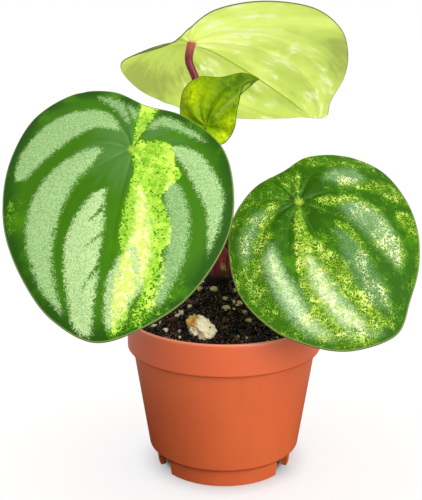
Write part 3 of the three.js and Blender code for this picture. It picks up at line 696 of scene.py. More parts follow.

# %% [markdown]
# ## Leaves
#
# A leaf of this plant is peltate: its petiole meets the blade inside the margin, and the veins
# run from there in arcs that meet again at the tip. A blade is laid out flat, u mm along the
# midrib and v mm across, and every mark on it is placed by two numbers. Its arc is the sum of
# the directions seen from the petiole and from the tip, which stays the same along a vein, and
# its share is how far along the vein it lies. Silver bands and variegated sectors are
# then short lists of share, arc and arc. How many millimetres a point lies inside them is
# stored at the vertices, and noise in the material frays their edges as in the real leaf.

# %% Blade layout
# The form: attach is the top of the petiole, and facing is where the upper face looks, in degrees
# to the right and up, and the turn of the midrib. droop curves the blade along, across and in
# twist, dimple is a depth and a radius, quilting is how far the blade swells between its veins,
# whose arcs are listed, and midrib is how clearly the middle one shows. The margin is given in u
# and v, starting at the tip.
# The marks: each silver band has its brightness and each sector its fullness of lime, then its
# streak. nicks cut into the silver, and plain streaks and windows keep lace out of a sector.
# The lights list gives u, v, radius and amount of light painted on the blade, and a negative
# amount is painted shade. net is how wide the lace is, and fade, silver_edge and raggedness are
# how soft or frayed an edge is, all in mm.
leaves = {
    "left": {
        "attach": (-35.75, -29.25, 143.2), "facing": (-4, 42, -6), "droop": (0.006, 0.006, 0),
        "thickness": 1.0, "dimple": (1.6, 6), "quilting": 0.8, "midrib": 0.15,
        "veins": (-180, -150, -105, -60, 0, 42, 84, 120, 180),
        "margin": [
            (75.4, -0.5), (69.4, -18.5), (57, -31.9), (40.5, -42.9), (23.5, -48.4), (5, -49.4),
            (-14, -44.4), (-26.4, -30.4), (-27.9, -14), (-21.4, 1.5), (-18.4, 17), (-6.5, 34.4),
            (14, 41.9), (33, 41.4), (53, 32.4), (67, 17.9)],
        "silver": [
            (1.0, [(0.27, -28, -20), (0.31, -38, -22), (0.41, -45, -15), (0.53, -51, -13),
                   (0.62, -52, -14), (0.71, -54, -13), (0.79, -58, -16), (0.87, -72, -22),
                   (0.95, -80, -30)]),
            (0.45, [(0.14, -96, -78), (0.19, -94, -69), (0.27, -92, -66), (0.36, -90, -64),
                    (0.48, -86, -63), (0.6, -81, -64), (0.7, -79, -66), (0.8, -79, -69)]),
            (0.35, [(0.11, -148, -136), (0.17, -149, -127), (0.21, -144, -117), (0.26, -134, -109),
                    (0.3, -126, -105), (0.34, -118, -103), (0.39, -112, -101)]),
            (0.1, [(0.12, -167, -161), (0.19, -164, -155), (0.24, -158, -151)]),
            (0.0, [(0.13, -179, -171), (0.17, -176, -167), (0.22, -172, -166)]),
            (1.0, [(0.21, 21, 32), (0.33, 20, 38), (0.41, 20, 40), (0.5, 18, 43), (0.56, 14, 46),
                   (0.61, 10, 46), (0.7, 2, 48), (0.78, 2, 44), (0.85, 5, 50), (0.92, 14, 54)]),
            (0.05, [(0.25, 60, 74), (0.31, 56, 75), (0.41, 57, 74), (0.55, 57, 72), (0.61, 59, 71),
                    (0.67, 62, 72), (0.74, 66, 76)]),
            (0.55, [(0.16, 98, 110), (0.19, 96, 113), (0.24, 91, 111), (0.29, 87, 106), (0.34, 87, 102),
                    (0.4, 87, 98), (0.46, 86, 93), (0.51, 86, 91)]),
            (0.15, [(0.11, 148, 162), (0.14, 147, 159), (0.17, 135, 155), (0.2, 128, 141),
                    (0.23, 124, 133), (0.26, 123, 129)])],
        "nicks": [(0.37, -19, 0.44, -30), (0.49, -12, 0.57, -30), (0.65, -12, 0.76, -34)],
        "sector": [
            (1.7, [(0.0, 160, 184), (0.06, 162, 184), (0.12, 161, 183), (0.17, 166, 182),
                   (0.24, 167, 182)]),
            (1.7, [(-0.1, 2, 170), (0.04, 8, 160), (0.08, 14, 128), (0.13, 17, 121), (0.17, 17, 108),
                   (0.2, 12, 88), (0.25, 10, 84), (0.27, 9, 70), (0.3, 7, 53), (0.34, 6, 53),
                   (0.43, 6, 60), (0.5, 6, 59), (0.545, 11, 52), (0.6, 13, 56), (0.69, 11, 56),
                   (0.78, 14, 52), (0.85, 22, 55), (0.93, 44, 58)]),
            (0.75, [(0.54, 50, 56), (0.62, 50, 64), (0.7, 50, 68), (0.77, 54, 71), (0.83, 60, 74)]),
            (0.16, [(0.58, 72, 80), (0.66, 70, 80), (0.78, 66, 88), (0.88, 58, 96), (0.95, 50, 90)]),
            (0.14, [(0.4, -103, -93), (0.45, -102, -92), (0.52, -100, -92)])],
        "plain": [], "windows": [(0.555, 25, 0.69, 39), (0.7, 46, 0.8, 50)],
        "greens": ("#25500D", "#3B6F0B", "#4C7834", "#457C0E"), "least_silver": 1.0, "net": 1.3, "fade": 3,
        "silvers": ("#6E9658", "#90B674", "#94B870", "#BAD698"), "limes": ("#7CB62A", "#A4D240", "#C4E654"),
        "creams": ("#C6D864", "#E6EA9E"),
        "silver_edge": 1.2, "raggedness": 1.4,
    },
    "right": {
        "attach": (29.75, -23.3, 121.4), "facing": (4, 46, 36), "droop": (0.008, 0.008, -0.002),
        "thickness": 1.0, "dimple": (1.6, 6), "quilting": 1.0, "midrib": 0.1,
        "veins": (-180, -140, -103, -72, -25, 34, 86, 130, 180),
        "margin": [
            (63, -2.5), (58, -19.5), (48, -31.5), (33.5, -40.5), (16.5, -43), (1.5, -37),
            (-10, -26), (-16, -10), (-15.5, 5.5), (-16, 19), (-8.5, 33), (5.5, 41),
            (21.5, 39.5), (36, 33), (48, 22.5), (56.5, 10)],
        "silver": [
            (0.85, [(0.3, -93, -87), (0.34, -95, -84), (0.39, -93, -82), (0.44, -92, -79),
                    (0.49, -92, -78), (0.54, -92, -81), (0.6, -92, -84), (0.66, -91, -85)]),
            (0.85, [(0.36, -56, -50), (0.4, -58, -46), (0.5, -64, -45), (0.6, -67, -47),
                    (0.7, -75, -52), (0.8, -72, -56)]),
            (0.0, [(0.31, 4, 14), (0.36, 3, 20), (0.46, -8, 20), (0.55, -12, 21), (0.66, -18, 17),
                   (0.77, -23, 19), (0.87, -12, 8)]),
            (0.2, [(0.24, 50, 64), (0.3, 45, 74), (0.36, 43, 76), (0.43, 43, 74), (0.52, 43, 70),
                   (0.6, 47, 65), (0.67, 50, 60)]),
            (0.2, [(0.19, 106, 116), (0.23, 98, 118), (0.27, 96, 117), (0.32, 99, 112)]),
            (0.1, [(0.18, -120, -114), (0.22, -122, -110), (0.26, -118, -108), (0.3, -117, -106),
                   (0.35, -111, -107)]),
            (0.1, [(0.7, -86, -72), (0.78, -82, -64), (0.88, -76, -60)])],
        "nicks": [],
        "sector": [
            (0.04, [(0.03, -180, 180), (0.97, -180, 180)]),
            (0.85, [(0.03, -64, -44), (0.1, -62, -36), (0.17, -61, -36), (0.23, -62, -38),
                    (0.3, -64, -39), (0.37, -67, -41), (0.45, -71, -45), (0.51, -75, -48),
                    (0.58, -80, -52), (0.66, -84, -54)]),
            (0.75, [(0.6, -86, -50), (0.68, -88, -52), (0.76, -90, -54), (0.88, -84, -50)]),
            (1.5, [(0.2, -46, -42), (0.27, -48, -36), (0.33, -48, -38), (0.38, -50, -44)]),
            (0.66, [(0.3, -38, -26), (0.4, -42, -16), (0.5, -45, -9), (0.62, -48, -17),
                    (0.77, -52, -18), (0.88, -56, -22), (0.95, -50, -20)]),
            (0.2, [(0.62, -18, 14), (0.7, -20, 16), (0.8, -20, 18), (0.88, -14, 14), (0.95, -16, 16)]),
            (0.42, [(0.7, 2, 12), (0.77, 0, 20), (0.84, -4, 14), (0.9, -6, 8)]),
            (0.34, [(0.5, -4, 12), (0.56, -8, 14), (0.62, -6, 10)]),
            (0.7, [(0.24, 15, 26), (0.3, 16, 34), (0.36, 20, 35), (0.45, 20, 31), (0.54, 16, 24)]),
            (0.5, [(0.1, 52, 74), (0.16, 48, 77), (0.22, 50, 79), (0.28, 54, 82)]),
            (0.45, [(0.24, 60, 80), (0.3, 64, 84), (0.38, 66, 82), (0.46, 64, 77), (0.53, 60, 70)]),
            (0.5, [(0.45, 42, 62), (0.5, 42, 70), (0.56, 42, 72), (0.62, 44, 72), (0.69, 48, 64)]),
            (0.36, [(0.22, 92, 108), (0.29, 90, 105), (0.37, 92, 108), (0.45, 96, 110),
                    (0.5, 100, 110)]),
            (0.5, [(0.45, 83, 94), (0.5, 80, 96), (0.55, 84, 92)]),
            (0.26, [(0.5, 88, 100), (0.6, 80, 100), (0.7, 72, 90), (0.8, 66, 84)]),
            (0.26, [(0.19, 136, 160), (0.24, 122, 146), (0.3, 112, 132), (0.36, 108, 124)]),
            (0.24, [(0.05, -178, -110), (0.1, -176, -112), (0.17, -166, -108), (0.25, -150, -100),
                    (0.33, -130, -97), (0.45, -118, -94), (0.6, -108, -90), (0.75, -100, -80),
                    (0.86, -92, -66)]),
            (0.45, [(0.1, -124, -112), (0.18, -122, -100), (0.25, -112, -90), (0.32, -106, -95),
                    (0.4, -104, -95)]),
            (0.36, [(0.17, -124, -112), (0.23, -125, -108), (0.29, -122, -107)]),
            (0.3, [(0.03, 145, 180), (0.1, 146, 178), (0.16, 150, 176)]),
            (0.7, [(0.03, 174, 182), (0.08, 175, 180), (0.15, 174, 178)]),
            (0.7, [(0.03, 144, 156), (0.09, 144, 149), (0.15, 145, 149)]),
            (0.5, [(0.3, -91, -84), (0.36, -93, -83), (0.42, -91, -80)]),
            (0.14, [(0.4, -93, -78), (0.5, -93, -78), (0.56, -93, -80)]),
            (0.5, [(0.53, -90, -81), (0.6, -94, -77), (0.68, -90, -70), (0.78, -86, -62)])],
        "plain": [
            [(0.02, 80, 136), (0.1, 84, 138), (0.17, 90, 138), (0.23, 108, 128)],
            [(0.05, -102, -72), (0.11, -106, -66), (0.17, -99, -61), (0.25, -87, -62), (0.32, -82, -65),
             (0.38, -79, -68), (0.45, -76, -72), (0.52, -77, -75)],
            [(0.04, -20, 32), (0.12, -16, 44), (0.2, -9, 41), (0.27, -4, 14), (0.32, -2, 8)],
            [(0.16, 24, 44), (0.25, 31, 43), (0.35, 36, 41), (0.43, 36, 42)],
            [(0.35, 82, 88), (0.41, 80, 95), (0.47, 74, 82), (0.54, 74, 79)],
            [(0.63, 38, 44), (0.7, 36, 64), (0.77, 34, 67), (0.86, 38, 52)]],
        "windows": [],
        "greens": ("#2F5E0C", "#305F07", "#295404", "#3F6C0A"), "least_silver": 0.4, "net": 1.0, "fade": 3,
        "silvers": ("#6A985E", "#8AB478", "#94BB7C", "#CCE4B2"), "limes": ("#74A01E", "#9CBC38", "#CEDC70"),
        "creams": ("#CADA84", "#F0F2CC"),
        "silver_edge": 3.0, "raggedness": 3.4,
    },
    "top": {
        "attach": (-14.1, 10, 183.4), "facing": (183, 60, -46), "droop": (0.003, 0.005, 0.001),
        "thickness": 1.0, "dimple": (1.6, 6), "quilting": 0.8, "midrib": 1.0,
        "veins": (-180, -140, -95, -48, 0, 48, 95, 140, 180),
        "margin": [
            (85, -5), (77, -14.5), (64, -32), (47.5, -46), (27, -57), (6, -59.5),
            (-7.5, -47), (-12, -26.5), (-8, -7), (-5, 11), (-11, 32.5), (7, 42.5),
            (28.5, 41.5), (48, 35), (66.5, 20), (77.5, 5)],
        "silver": [
            (0.8, [(0.3, -34, -18), (0.5, -40, -12), (0.75, -40, -10), (0.9, -34, -12)]),
            (0.6, [(0.16, -88, -64), (0.4, -82, -56), (0.7, -76, -56)]),
            (0.4, [(0.12, -132, -108), (0.3, -126, -102), (0.4, -116, -102)]),
            (0.8, [(0.3, 16, 34), (0.5, 12, 40), (0.75, 12, 38), (0.9, 12, 32)]),
            (0.6, [(0.16, 60, 86), (0.4, 58, 82), (0.7, 58, 76)]),
            (0.4, [(0.12, 108, 130), (0.3, 104, 126), (0.4, 102, 114)])],
        "nicks": [],
        "sector": [
            (0.6, [(0.05, -120, -60), (0.3, -110, -50), (0.6, -90, -30), (0.9, -70, -20)]),
            (0.45, [(0.1, -20, 70), (0.4, -10, 60), (0.7, -10, 50), (0.95, -20, 40)]),
            (0.25, [(0.1, 80, 150), (0.3, 80, 130), (0.5, 70, 100)])],
        "plain": [], "windows": [],
        "greens": ("#2F6210", "#3F770C", "#4A8030", "#4E8A1A"), "least_silver": 0.7, "net": 1.2, "fade": 6,
        "silvers": ("#76A068", "#98C284", "#9CC580", "#C2E2A8"), "limes": ("#72A82A", "#9EC840", "#D0E678"),
        "creams": ("#CCDE6A", "#ECF0A6"),
        "silver_edge": 2.0, "raggedness": 2.4,
        # painted light and shade on the underside, where light comes through or not
        "lights": [
            (6, -14, 12, 1.2), (18, -26, 12, 0.7), (38, -8, 12, 0.7), (76, -3, 8, 0.4),
            (0, -38, 12, 0.5), (14, -48, 9, 0.6), (-3, 36, 15, -1.6), (14, 34, 14, -1.1),
            (56, -44, 13, -1.2), (38, -50, 9, -0.9), (52, -24, 14, -0.5), (66, 2, 9, -0.4),
            (-4, 4, 6, -0.9), (20, 18, 9, -0.4)],
    },
}
print("laid out", len(leaves), "grown leaves")


# %% Places on a blade
def vein_place(u, v, tip):
    """Arc in degrees, share from 0 at the petiole to 1 at the tip, and mm per unit of both."""
    from_petiole, from_tip = np.hypot(u, v), np.hypot(tip - u, v)
    arc = np.degrees(np.arctan2(v, u) + np.arctan2(v, tip - u))
    share = from_petiole / (from_petiole + from_tip)
    tau = np.log(np.maximum(from_petiole, 0.02) / np.maximum(from_tip, 0.02))
    stretch = tip / 2 / np.maximum(np.cosh(tau) + np.cos(np.radians(arc)), 1e-3)
    return arc, share, np.radians(stretch), stretch / np.maximum(share * (1 - share), 1e-3)


def inside_streak(streak, place, round_end=5.0):
    """Millimetres inside a streak that is listed as share, lower arc and upper arc."""
    arc, share, mm_per_arc, mm_per_share = place
    shares, lows, highs = np.array(streak, float).T
    middle, half = (highs + lows) / 2, (highs - lows) / 2
    off = np.mod(arc - np.interp(share, shares, middle) + 180, 360) - 180
    along = np.minimum(share - shares[0], shares[-1] - share) * mm_per_share
    into_end = 1 - np.clip(along / round_end, 0, 1)
    taper = np.sqrt(1 - into_end ** 2)
    across = (np.interp(share, shares, half) * taper - abs(off)) * mm_per_arc
    return np.where(along > 0, across, np.minimum(across, along))


def off_line(line, place):
    """Millimetres from a short line given as share, arc, share, arc; and how far along it."""
    arc, share, mm_per_arc, mm_per_share = place
    share_a, arc_a, share_b, arc_b = line
    t = np.clip((share - share_a) / (share_b - share_a), 0, 1)
    gap = np.hypot((arc - (arc_a + (arc_b - arc_a) * t)) * mm_per_arc,
                   (share - (share_a + (share_b - share_a) * t)) * mm_per_share)
    return gap, t


def blade_height(leaf, u, v, inward):
    """How far the blade stands out of its flat plane, mm; inward is 0 at the petiole, 1 at the margin."""
    along, across, twist = leaf["droop"]
    curve = -(along * u ** 2 + across * v ** 2) / 2 - twist * u * v
    depth, radius = leaf["dimple"]
    boss = depth * (1 - np.exp(-(u ** 2 + v ** 2) / (2 * radius ** 2)))
    arc = np.clip(vein_place(u, v, leaf["margin"][0][0])[0], -179.9, 179.9)
    veins = np.array(leaf["veins"], float)
    i = np.clip(np.searchsorted(veins, arc, side="right"), 1, len(veins) - 1)
    between = (arc - veins[i - 1]) / (veins[i] - veins[i - 1])
    swell = np.sin(np.pi * between) ** 2 * np.maximum(4 * inward * (1 - inward), 0) ** 0.7
    return curve + boss + leaf["quilting"] * swell


def blade_axes(facing):
    """Directions of a blade: along the midrib, across it, and out of the upper face."""
    a, e, t = np.radians(facing)
    out = np.array([np.sin(a) * np.cos(e), -np.cos(a) * np.cos(e), np.sin(e)])
    down = np.array([np.sin(a) * np.sin(e), -np.cos(a) * np.sin(e), -np.cos(e)])
    along = down * np.cos(t) + np.cross(out, down) * np.sin(t)
    return along, np.cross(out, along), out


print("the left leaf's upper face looks along", blade_axes(leaves["left"]["facing"])[2].round(2))

# %% [markdown]
# The upper face is a waxy cuticle over green cells. Silver is air under the cuticle, and its
# edge is frayed by single cells. In a sector of the leaf the cells lack chlorophyll: there it
# is lime, or cream where it lies under silver, and green cells are left in it as dots and
# holes. A noise is cut where it is near its middle value, which leaves a net of fine lines,
# and the fullness stored at the vertices says how wide they are. A thin net is a duller lime
# than a full one. The underside is paler and lets light through, which a little emission in
# its own colour stands for.

# %% Leaf finishes
def leaf_face(name, leaf):
    """The upper face of a variegated watermelon peperomia leaf."""
    finish, tree, paint = new_finish(
        name, 0.45, 0.05, flow="flow",
        fields=("silver", "tone", "sector", "fullness", "inset", "hub", "vein"),
        grains={"cloud": (15, 3, 0.5), "fray": (1.8, 3, 0.65), "grain": (0.6, 2, 0.6),
                "net": (leaf["net"], 1, 0.5), "patch": (5, 3, 0.6), "dots": (1.25, 0, 0.5),
                "flow_streaks": (2.6, 3, 0.6)})
    grain, fray, cloud, patch = paint["grain"], paint["fray"], paint["cloud"], paint["patch"]
    near_margin, middle, near_hub, mottled = leaf["greens"]
    green = layered(
        tree, linear(near_margin),
        (soft_mask(tree, paint["inset"], 1.5, 9, [(cloud, 6)]), linear(middle)),
        (soft_mask(tree, cloud, 0.56, 0.74), linear("#467F0C")),
        (soft_mask(tree, paint["hub"], 24, 6, [(paint["flow_streaks"], 30)]), linear(near_hub)),
        (soft_mask(tree, paint["fullness"], 0.08, 0.4, [(fray, 0.3)]), linear(mottled)),
        (soft_mask(tree, paint["vein"], 0.1, 1.4), linear("#6E9E50")))
    shades = [linear(shade) for shade in leaf["silvers"]]
    dull = layered(tree, shades[0], (soft_mask(tree, grain, 0.4, 0.62), shades[1]))
    bright = layered(tree, shades[2], (soft_mask(tree, grain, 0.38, 0.6), shades[3]))
    silver = layered(tree, dull, (paint["tone"], bright))
    lime = layered(
        tree, linear(leaf["limes"][0]),
        (soft_mask(tree, fray, 0.36, 0.6), linear(leaf["limes"][1])),
        (soft_mask(tree, patch, 0.5, 0.66, [(grain, 0.3)]), linear(leaf["limes"][2])))
    full = soft_mask(tree, paint["fullness"], 0.15, 0.55, [(patch, 0.6)])
    lime = layered(tree, linear("#6AA01C"), (full, lime))
    cream = layered(
        tree, linear(leaf["creams"][0]), (soft_mask(tree, fray, 0.42, 0.62), linear(leaf["creams"][1])))
    off_middle = add_node(tree, "ShaderNodeMath", {
        0: paint["net"], 1: 0.5}, operation="SUBTRACT").outputs[0]
    ridge = add_node(tree, "ShaderNodeMath", {0: off_middle}, operation="ABSOLUTE").outputs[0]
    lacy = add_node(tree, "ShaderNodeMath", {0: patch, 1: 2.2, 2: paint["fullness"]},
                    operation="MULTIPLY_ADD").outputs[0]
    filled = add_node(tree, "ShaderNodeMath", {0: ridge, 1: -9.0, 2: lacy},
                      operation="MULTIPLY_ADD").outputs[0]
    edge = leaf["silver_edge"]
    cover = add_node(tree, "ShaderNodeMapRange", {
        "Value": paint["tone"], "To Min": leaf["least_silver"], "To Max": 1.0}).outputs[0]
    airy = soft_mask(tree, paint["silver"], -edge, edge, [(fray, 3.5), (grain, 4.5)])
    in_silver = add_node(tree, "ShaderNodeMath", {0: airy, 1: cover}, operation="MULTIPLY").outputs[0]
    over_silver = soft_mask(tree, paint["silver"], -0.8, 3.0, [(fray, 3.5)])
    in_sector = soft_mask(tree, paint["sector"], -0.3, 0.3, [(fray, 2 * leaf["raggedness"]), (grain, 1.2)])
    in_net = soft_mask(tree, filled, 1.0, 1.2)
    on_dot = soft_mask(tree, paint["dots"], 0.18, 0.08, [(patch, 0.7)])
    pale = layered(tree, lime, (over_silver, cream), (on_dot, linear("#5E8E20")))
    plain = layered(tree, green, (in_silver, silver))
    netted = layered(tree, plain, (in_net, pale))
    colour = layered(
        tree, plain, (in_sector, netted),
        (soft_mask(tree, paint["hub"], 2.6, 0.6), linear("#9DBB3C")),
        (soft_mask(tree, paint["inset"], 0.6, 0.4), linear("#748E48")),
        (soft_mask(tree, paint["inset"], 0.3, 0.1), linear("#625E36")))
    dress(tree, colour, layered(tree, grain, (0.5, fray)), 0.1, 0.5)
    return finish


def leaf_back(name, base, bright, dull, fleck, vein, glow):
    """The underside: thin pale tissue, clouded and flecked along the veins, with light and shade painted on
    it by the lit field.
    """
    finish, tree, paint = new_finish(
        name, 0.5, 0.12, flow="flow", fields=("vein", "inset", "hub", "lit"),
        grains={"cloud": (14, 3, 0.6), "flow_flecks": (2.6, 4, 0.65), "flow_clouds": (6, 4, 0.6),
                "grain": (0.8, 2, 0.5)})
    clouds, flecks = paint["flow_clouds"], paint["flow_flecks"]
    colour = layered(
        # bright and dull are painted light and shade, placed where the lit field is high or low
        tree, base,
        (soft_mask(tree, paint["lit"], -0.3, 1.0, [(clouds, 5.0), (paint["cloud"], 2.0)]), bright),
        (soft_mask(tree, paint["lit"], -0.2, -1.6, [(clouds, 4.0), (flecks, 3.0)]), dull),
        (soft_mask(tree, flecks, 0.5, 0.7, [(paint["cloud"], 0.7), (paint["lit"], 0.06)]), fleck),
        (soft_mask(tree, paint["vein"], 0.35, 1.1), vein),
        (soft_mask(tree, paint["hub"], 3.0, 1.2), linear("#D8A070")),
        (soft_mask(tree, paint["inset"], 0.45, 0.15), linear("#66702E")))
    dress(tree, colour, layered(tree, paint["grain"], (0.5, flecks)), 0.1, 0.4)
    surface = tree.nodes["Principled BSDF"]
    tree.links.new(colour, surface.inputs["Emission Color"])
    surface.inputs["Emission Strength"].default_value = glow
    return finish


pale_back = leaf_back(
    "pale_green_underside", linear("#8DB35A"), linear("#9BBF6A"), linear("#7CA24C"),
    linear("#B4CF90"), linear("#9A6A4A"), 0.05)
lime_back = leaf_back(
    "lime_translucent_underside", linear("#C8DE64"), linear("#E2F37A"), linear("#A6B654"),
    linear("#F0FAB8"), linear("#A0B63E"), 0.55)
backs = {"left": pale_back, "right": pale_back, "top": lime_back}
print("undersides", pale_back.name, "and", lime_back.name)


# %% Marks on a blade
def blade_marks(leaf, u, v, groove):
    """What the finishes read at each vertex of a blade: millimetres, shares and strengths."""
    tip = leaf["margin"][0][0]
    place = vein_place(u, v, tip)
    share = place[1]
    edge = closed_curve(leaf["margin"], 24)
    run = np.roll(edge, -1, 0) - np.roll(edge, 1, 0)
    across = np.stack([run[:, 1], -run[:, 0]], -1) / np.linalg.norm(run, axis=1)[:, None]
    nearest = np.argmin([np.hypot(u - a, v - b) for a, b in edge], axis=0)
    inset = abs(((np.stack([u, v], -1) - edge[nearest]) * across[nearest]).sum(axis=1))
    hub = np.hypot(u, v)
    paleness = np.maximum(np.exp(-hub / 12), leaf["midrib"] * (abs(place[0]) < 10))
    marks = {"inset": inset, "hub": hub, "vein": groove * paleness}
    if "lights" in leaf:
        marks["lit"] = sum(amount * np.exp(-((u - a) ** 2 + (v - b) ** 2) / radius ** 2)
                           for a, b, radius, amount in leaf["lights"])
    if "silver" in leaf:
        inside = np.array([inside_streak(streak, place) for _, streak in leaf["silver"]])
        tones = np.array([tone for tone, _ in leaf["silver"]])
        silver = np.minimum(inside.max(axis=0), inset - 4.2 * np.clip((0.98 - share) / 0.2, 0.2, 1))
        for nick in leaf["nicks"]:
            gap, t = off_line(nick, place)
            silver = np.minimum(silver, gap * 1.6 - 1.6 * (1 - 0.7 * t))
        inner = np.array([inside_streak(streak, place) for _, streak in leaf["sector"]])
        fullness = np.array([share_filled for share_filled, _ in leaf["sector"]])
        filled = (fullness[:, None] * np.clip(inner / leaf["fade"] + 0.5, 0, 1)).max(axis=0)
        for streak in leaf["plain"]:
            filled *= np.clip(0.5 - inside_streak(streak, place, 3.0) / 1.5, 0, 1)
        for window in leaf["windows"]:
            gap, _ = off_line(window, place)
            filled = np.minimum(filled, np.maximum(gap - 0.6, 0.15))
        tone = tones[inside.argmax(axis=0)]
        marks.update(silver=silver, tone=tone, sector=inner.max(axis=0), fullness=filled)
    flow = np.stack([place[0] * 0.25, share * tip / 5, 0 * u], -1) * MM
    return marks, flow


# %% Build a blade
def blade_piece(name, leaf, upper, under, shape=None):
    """One leaf as a closed blade with a rounded margin, and its marks stored at its vertices."""
    spokes_per_point, rows, edge_radius = 16, 70, 0.27
    edge = closed_curve(leaf["margin"], spokes_per_point)
    run = np.roll(edge, -1, 0) - np.roll(edge, 1, 0)
    normal = np.stack([run[:, 1], -run[:, 0]], -1) / np.linalg.norm(run, axis=1)[:, None]
    if np.einsum("ij,ij->i", normal, edge).mean() < 0:
        normal = -normal
    body = edge - edge_radius * normal
    middle = leaf["thickness"] / 2
    rings = []
    upper_shares = np.linspace(0, 1, rows + 1)[1:]
    for share in upper_shares:
        rings.append((body * share, share, leaf["thickness"] - (middle - edge_radius) * share ** 6))
    for angle in np.linspace(0, np.pi, 7)[1:-1]:
        rounded = body + edge_radius * np.sin(angle) * normal
        rings.append((rounded, 1.0, middle + edge_radius * np.cos(angle)))
    for share in upper_shares[::-1]:
        rings.append((body * share, share, (middle - edge_radius) * share ** 6))
    flat = np.array([ring[0] for ring in rings])
    grid = np.concatenate([flat, np.zeros((*flat.shape[:2], 1))], -1)
    points, faces = closed_skin(grid, (0, 0, 0), (0, 0, 0))
    u, v = points[:, 0], points[:, 1]
    inward = np.append(np.repeat([ring[1] for ring in rings], len(edge)), [0, 0])
    lift = np.append(np.repeat([ring[2] for ring in rings], len(edge)), [leaf["thickness"], 0])
    face_side = np.append(np.repeat(np.where(np.arange(len(rings)) < rows + 3, 1, -1), len(edge)), [1, -1])

    arc, share, mm_per_arc, _ = vein_place(u, v, leaf["margin"][0][0])
    from_vein = np.min([abs(arc - vein) * mm_per_arc for vein in leaf["veins"]], axis=0)
    fade = np.clip(np.hypot(u, v) / 6, 0, 1) * np.clip((1 - share) * 6, 0, 1)
    groove = np.exp(-(from_vein / 0.9) ** 2) * fade
    height = blade_height(leaf, u, v, inward) + lift
    height += np.where(face_side > 0, -0.22, -0.3) * groove
    if shape:
        height += shape(u, v, arc, share)
    along, across, out = blade_axes(leaf["facing"])
    solid = np.array(leaf["attach"]) + np.outer(u, along) + np.outer(v, across) + np.outer(height, out)

    under_face = [int(face_side[face].mean() < 0) for face in map(np.array, faces)]
    piece = add_piece(name, solid, faces, upper, under, face_finish=under_face)
    marks, flow = blade_marks(leaf, u, v, groove)
    for label, values in marks.items():
        stored = piece.data.attributes.new(label, "FLOAT", "POINT")
        stored.data.foreach_set("value", values.astype(np.float32))
    stored = piece.data.attributes.new("flow", "FLOAT_VECTOR", "POINT")
    stored.data.foreach_set("vector", flow.astype(np.float32).ravel())
    return piece


for name, leaf in leaves.items():
    upper = leaf_face(f"variegated_{name}_leaf_face", leaf)
    blade = blade_piece(f"blade_{name}", leaf, upper, backs[name])
    hand_in(blade, "leaf_underside" if name == "top" else "leaf", f"leaf_{name}")

# %% [markdown]
# ## The young leaf
#
# The youngest blade hasn't unrolled yet. It is lime green, crinkled between its veins, with a
# narrow darker edge and a tip that is pinched into a beak. The light and shade on its folds are
# painted, from a list of lit and shaded spots.

# %% Young leaf
young = {
    "attach": (-7.5, -3.2, 150.1), "facing": (-8, 12, 137), "droop": (0.012, 0.02, 0),
    "thickness": 0.8, "dimple": (0.6, 4), "quilting": 1.1, "midrib": 0.8,
    "veins": (-180, -70, 0, 45, 85, 125, 180),
    "margin": [
        (29, -1.5), (23, 1), (15, -3.5), (7.5, -9), (-1, -10), (-5, -3),
        (-6, 5.5), (-4, 12.5), (4, 18.5), (12, 17.5), (18, 11), (26, 5.5)],
    # painted light and shade on the folds
    "lights": [
        (6, 14.5, 5, 1.1), (-1, 11, 4.5, 0.7), (7.5, -6, 3.6, 1.0), (1.5, -8, 4, 1.1),
        (10, 8.5, 3, 0.25), (15, 5.5, 4, -0.8), (23, 3.5, 5, -1.2), (28, -1, 4, -1.2),
        (14, -1.5, 3.2, -0.7), (3.5, -1, 3.5, -0.7), (3.5, 4.5, 2.4, -0.4), (19, 9, 4, -0.5)],
}
young_finish, tree, paint = new_finish(
    "young_lime_leaf_face", 0.34, 0.05, fields=("vein", "inset", "lit"),
    grains={"cloud": (5, 3, 0.6), "crinkle": (2.2, 3, 0.6), "grain": (0.6, 2, 0.5)})
crumple = [(paint["crinkle"], 2.6), (paint["cloud"], 1.4)]
# lit and shaded copies of the lime, painted where the lit field is high or low
colour = layered(
    tree, linear("#587A14"),
    (soft_mask(tree, paint["lit"], -1.2, -0.5, crumple), linear("#769806")),
    (soft_mask(tree, paint["lit"], -0.3, 0.4, crumple), linear("#88A604")),
    (soft_mask(tree, paint["lit"], 0.5, 1.1, crumple), linear("#AEC600")),
    (soft_mask(tree, paint["lit"], 1.1, 1.5, crumple), linear("#E4EA3C")),
    (soft_mask(tree, paint["crinkle"], 0.58, 0.74), linear("#5F8206")),
    (soft_mask(tree, paint["vein"], 0.35, 1.0), linear("#8AA444")),
    (soft_mask(tree, paint["inset"], 0.45, 0.15), linear("#4E6414")))
dress(tree, colour, paint["crinkle"], 1.0, 0.8)


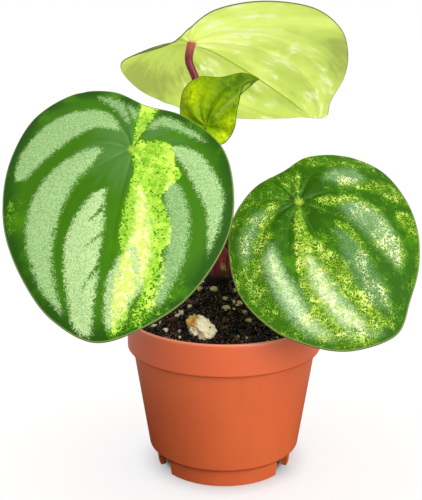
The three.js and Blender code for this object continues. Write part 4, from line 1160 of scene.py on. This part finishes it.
def crinkled(u, v, arc, share):
    """The young leaf's own folds, mm: deep between the veins, with smaller dents on them."""
    off_hub_and_tip = np.clip(np.hypot(u, v) / 9, 0, 1) * np.clip(3 - 3.2 * share, 0, 1)
    folds = 0.9 * np.sin(np.radians(arc) * 5.0) * off_hub_and_tip
    dents = [noise.fractal((a * 0.16, b * 0.16, 2.0), 0.9, 2, 3) for a, b in zip(u, v)]
    return folds + 0.7 * np.array(dents)


young_blade = blade_piece("blade_young", young, young_finish, young_finish, crinkled)
hand_in(young_blade, "young_leaf", "leaf_young")

# %% Petioles
petioles = {  # radius and route of each, mm
    "left": (1.9, [(-3, 5, 84.5), (-6, 2, 98), (-14, -4, 120), (-25, -14, 138),
                   (-35.75, -29.5, 143.5)]),
    "right": (1.9, [(1.5, 5.5, 84.5), (4.5, 3, 96), (12, -2, 110), (21, -10.5, 119.5),
                    (29.75, -23.6, 121.8)]),
    "top": (1.6, [(-2.5, 10.5, 84.5), (-5, 10, 100), (-7.5, 8.5, 125), (-10, 8.5, 150),
                  (-12.5, 9.5, 168.7), (-15.3, 10, 176.6), (-14.1, 10.2, 183.8)]),
    "young": (1.1, [(1.5, 10.5, 84.5), (1, 9.5, 98), (-1, 5.5, 122), (-5, 1, 140), (-7.55, -3.6, 150.2)]),
}
for name, (radius, route) in petioles.items():
    line = open_curve(route, 16)
    mesh = bpy.data.meshes.new(f"stalk_{name}")
    mesh.from_pydata((line * MM + pot_axis).tolist(), [(i, i + 1) for i in range(len(line) - 1)], [])
    stalk = bpy.data.objects.new(f"stalk_{name}", mesh)
    scene.collection.objects.link(stalk)
    grow(stalk, swept_petiole, radius=radius * MM, finish=petiole_finish)
    leaf = leaves.get(name, young)
    along, across, out = blade_axes(leaf["facing"])
    for vertex in stalk.data.vertices:  # keep the end of the stalk inside the blade
        from_attach = (np.array(vertex.co) - pot_axis) / MM - leaf["attach"]
        u, v, w = from_attach @ along, from_attach @ across, from_attach @ out
        over = w - (blade_height(leaf, np.array(u), np.array(v), np.array(0.1)) + 0.3)
        if over > 0:
            vertex.co -= Vector(out * over * MM)
    stalk.data.polygons.foreach_set("use_smooth", [True] * len(stalk.data.polygons))
    hand_in(stalk, "petiole", f"petiole_{name}")
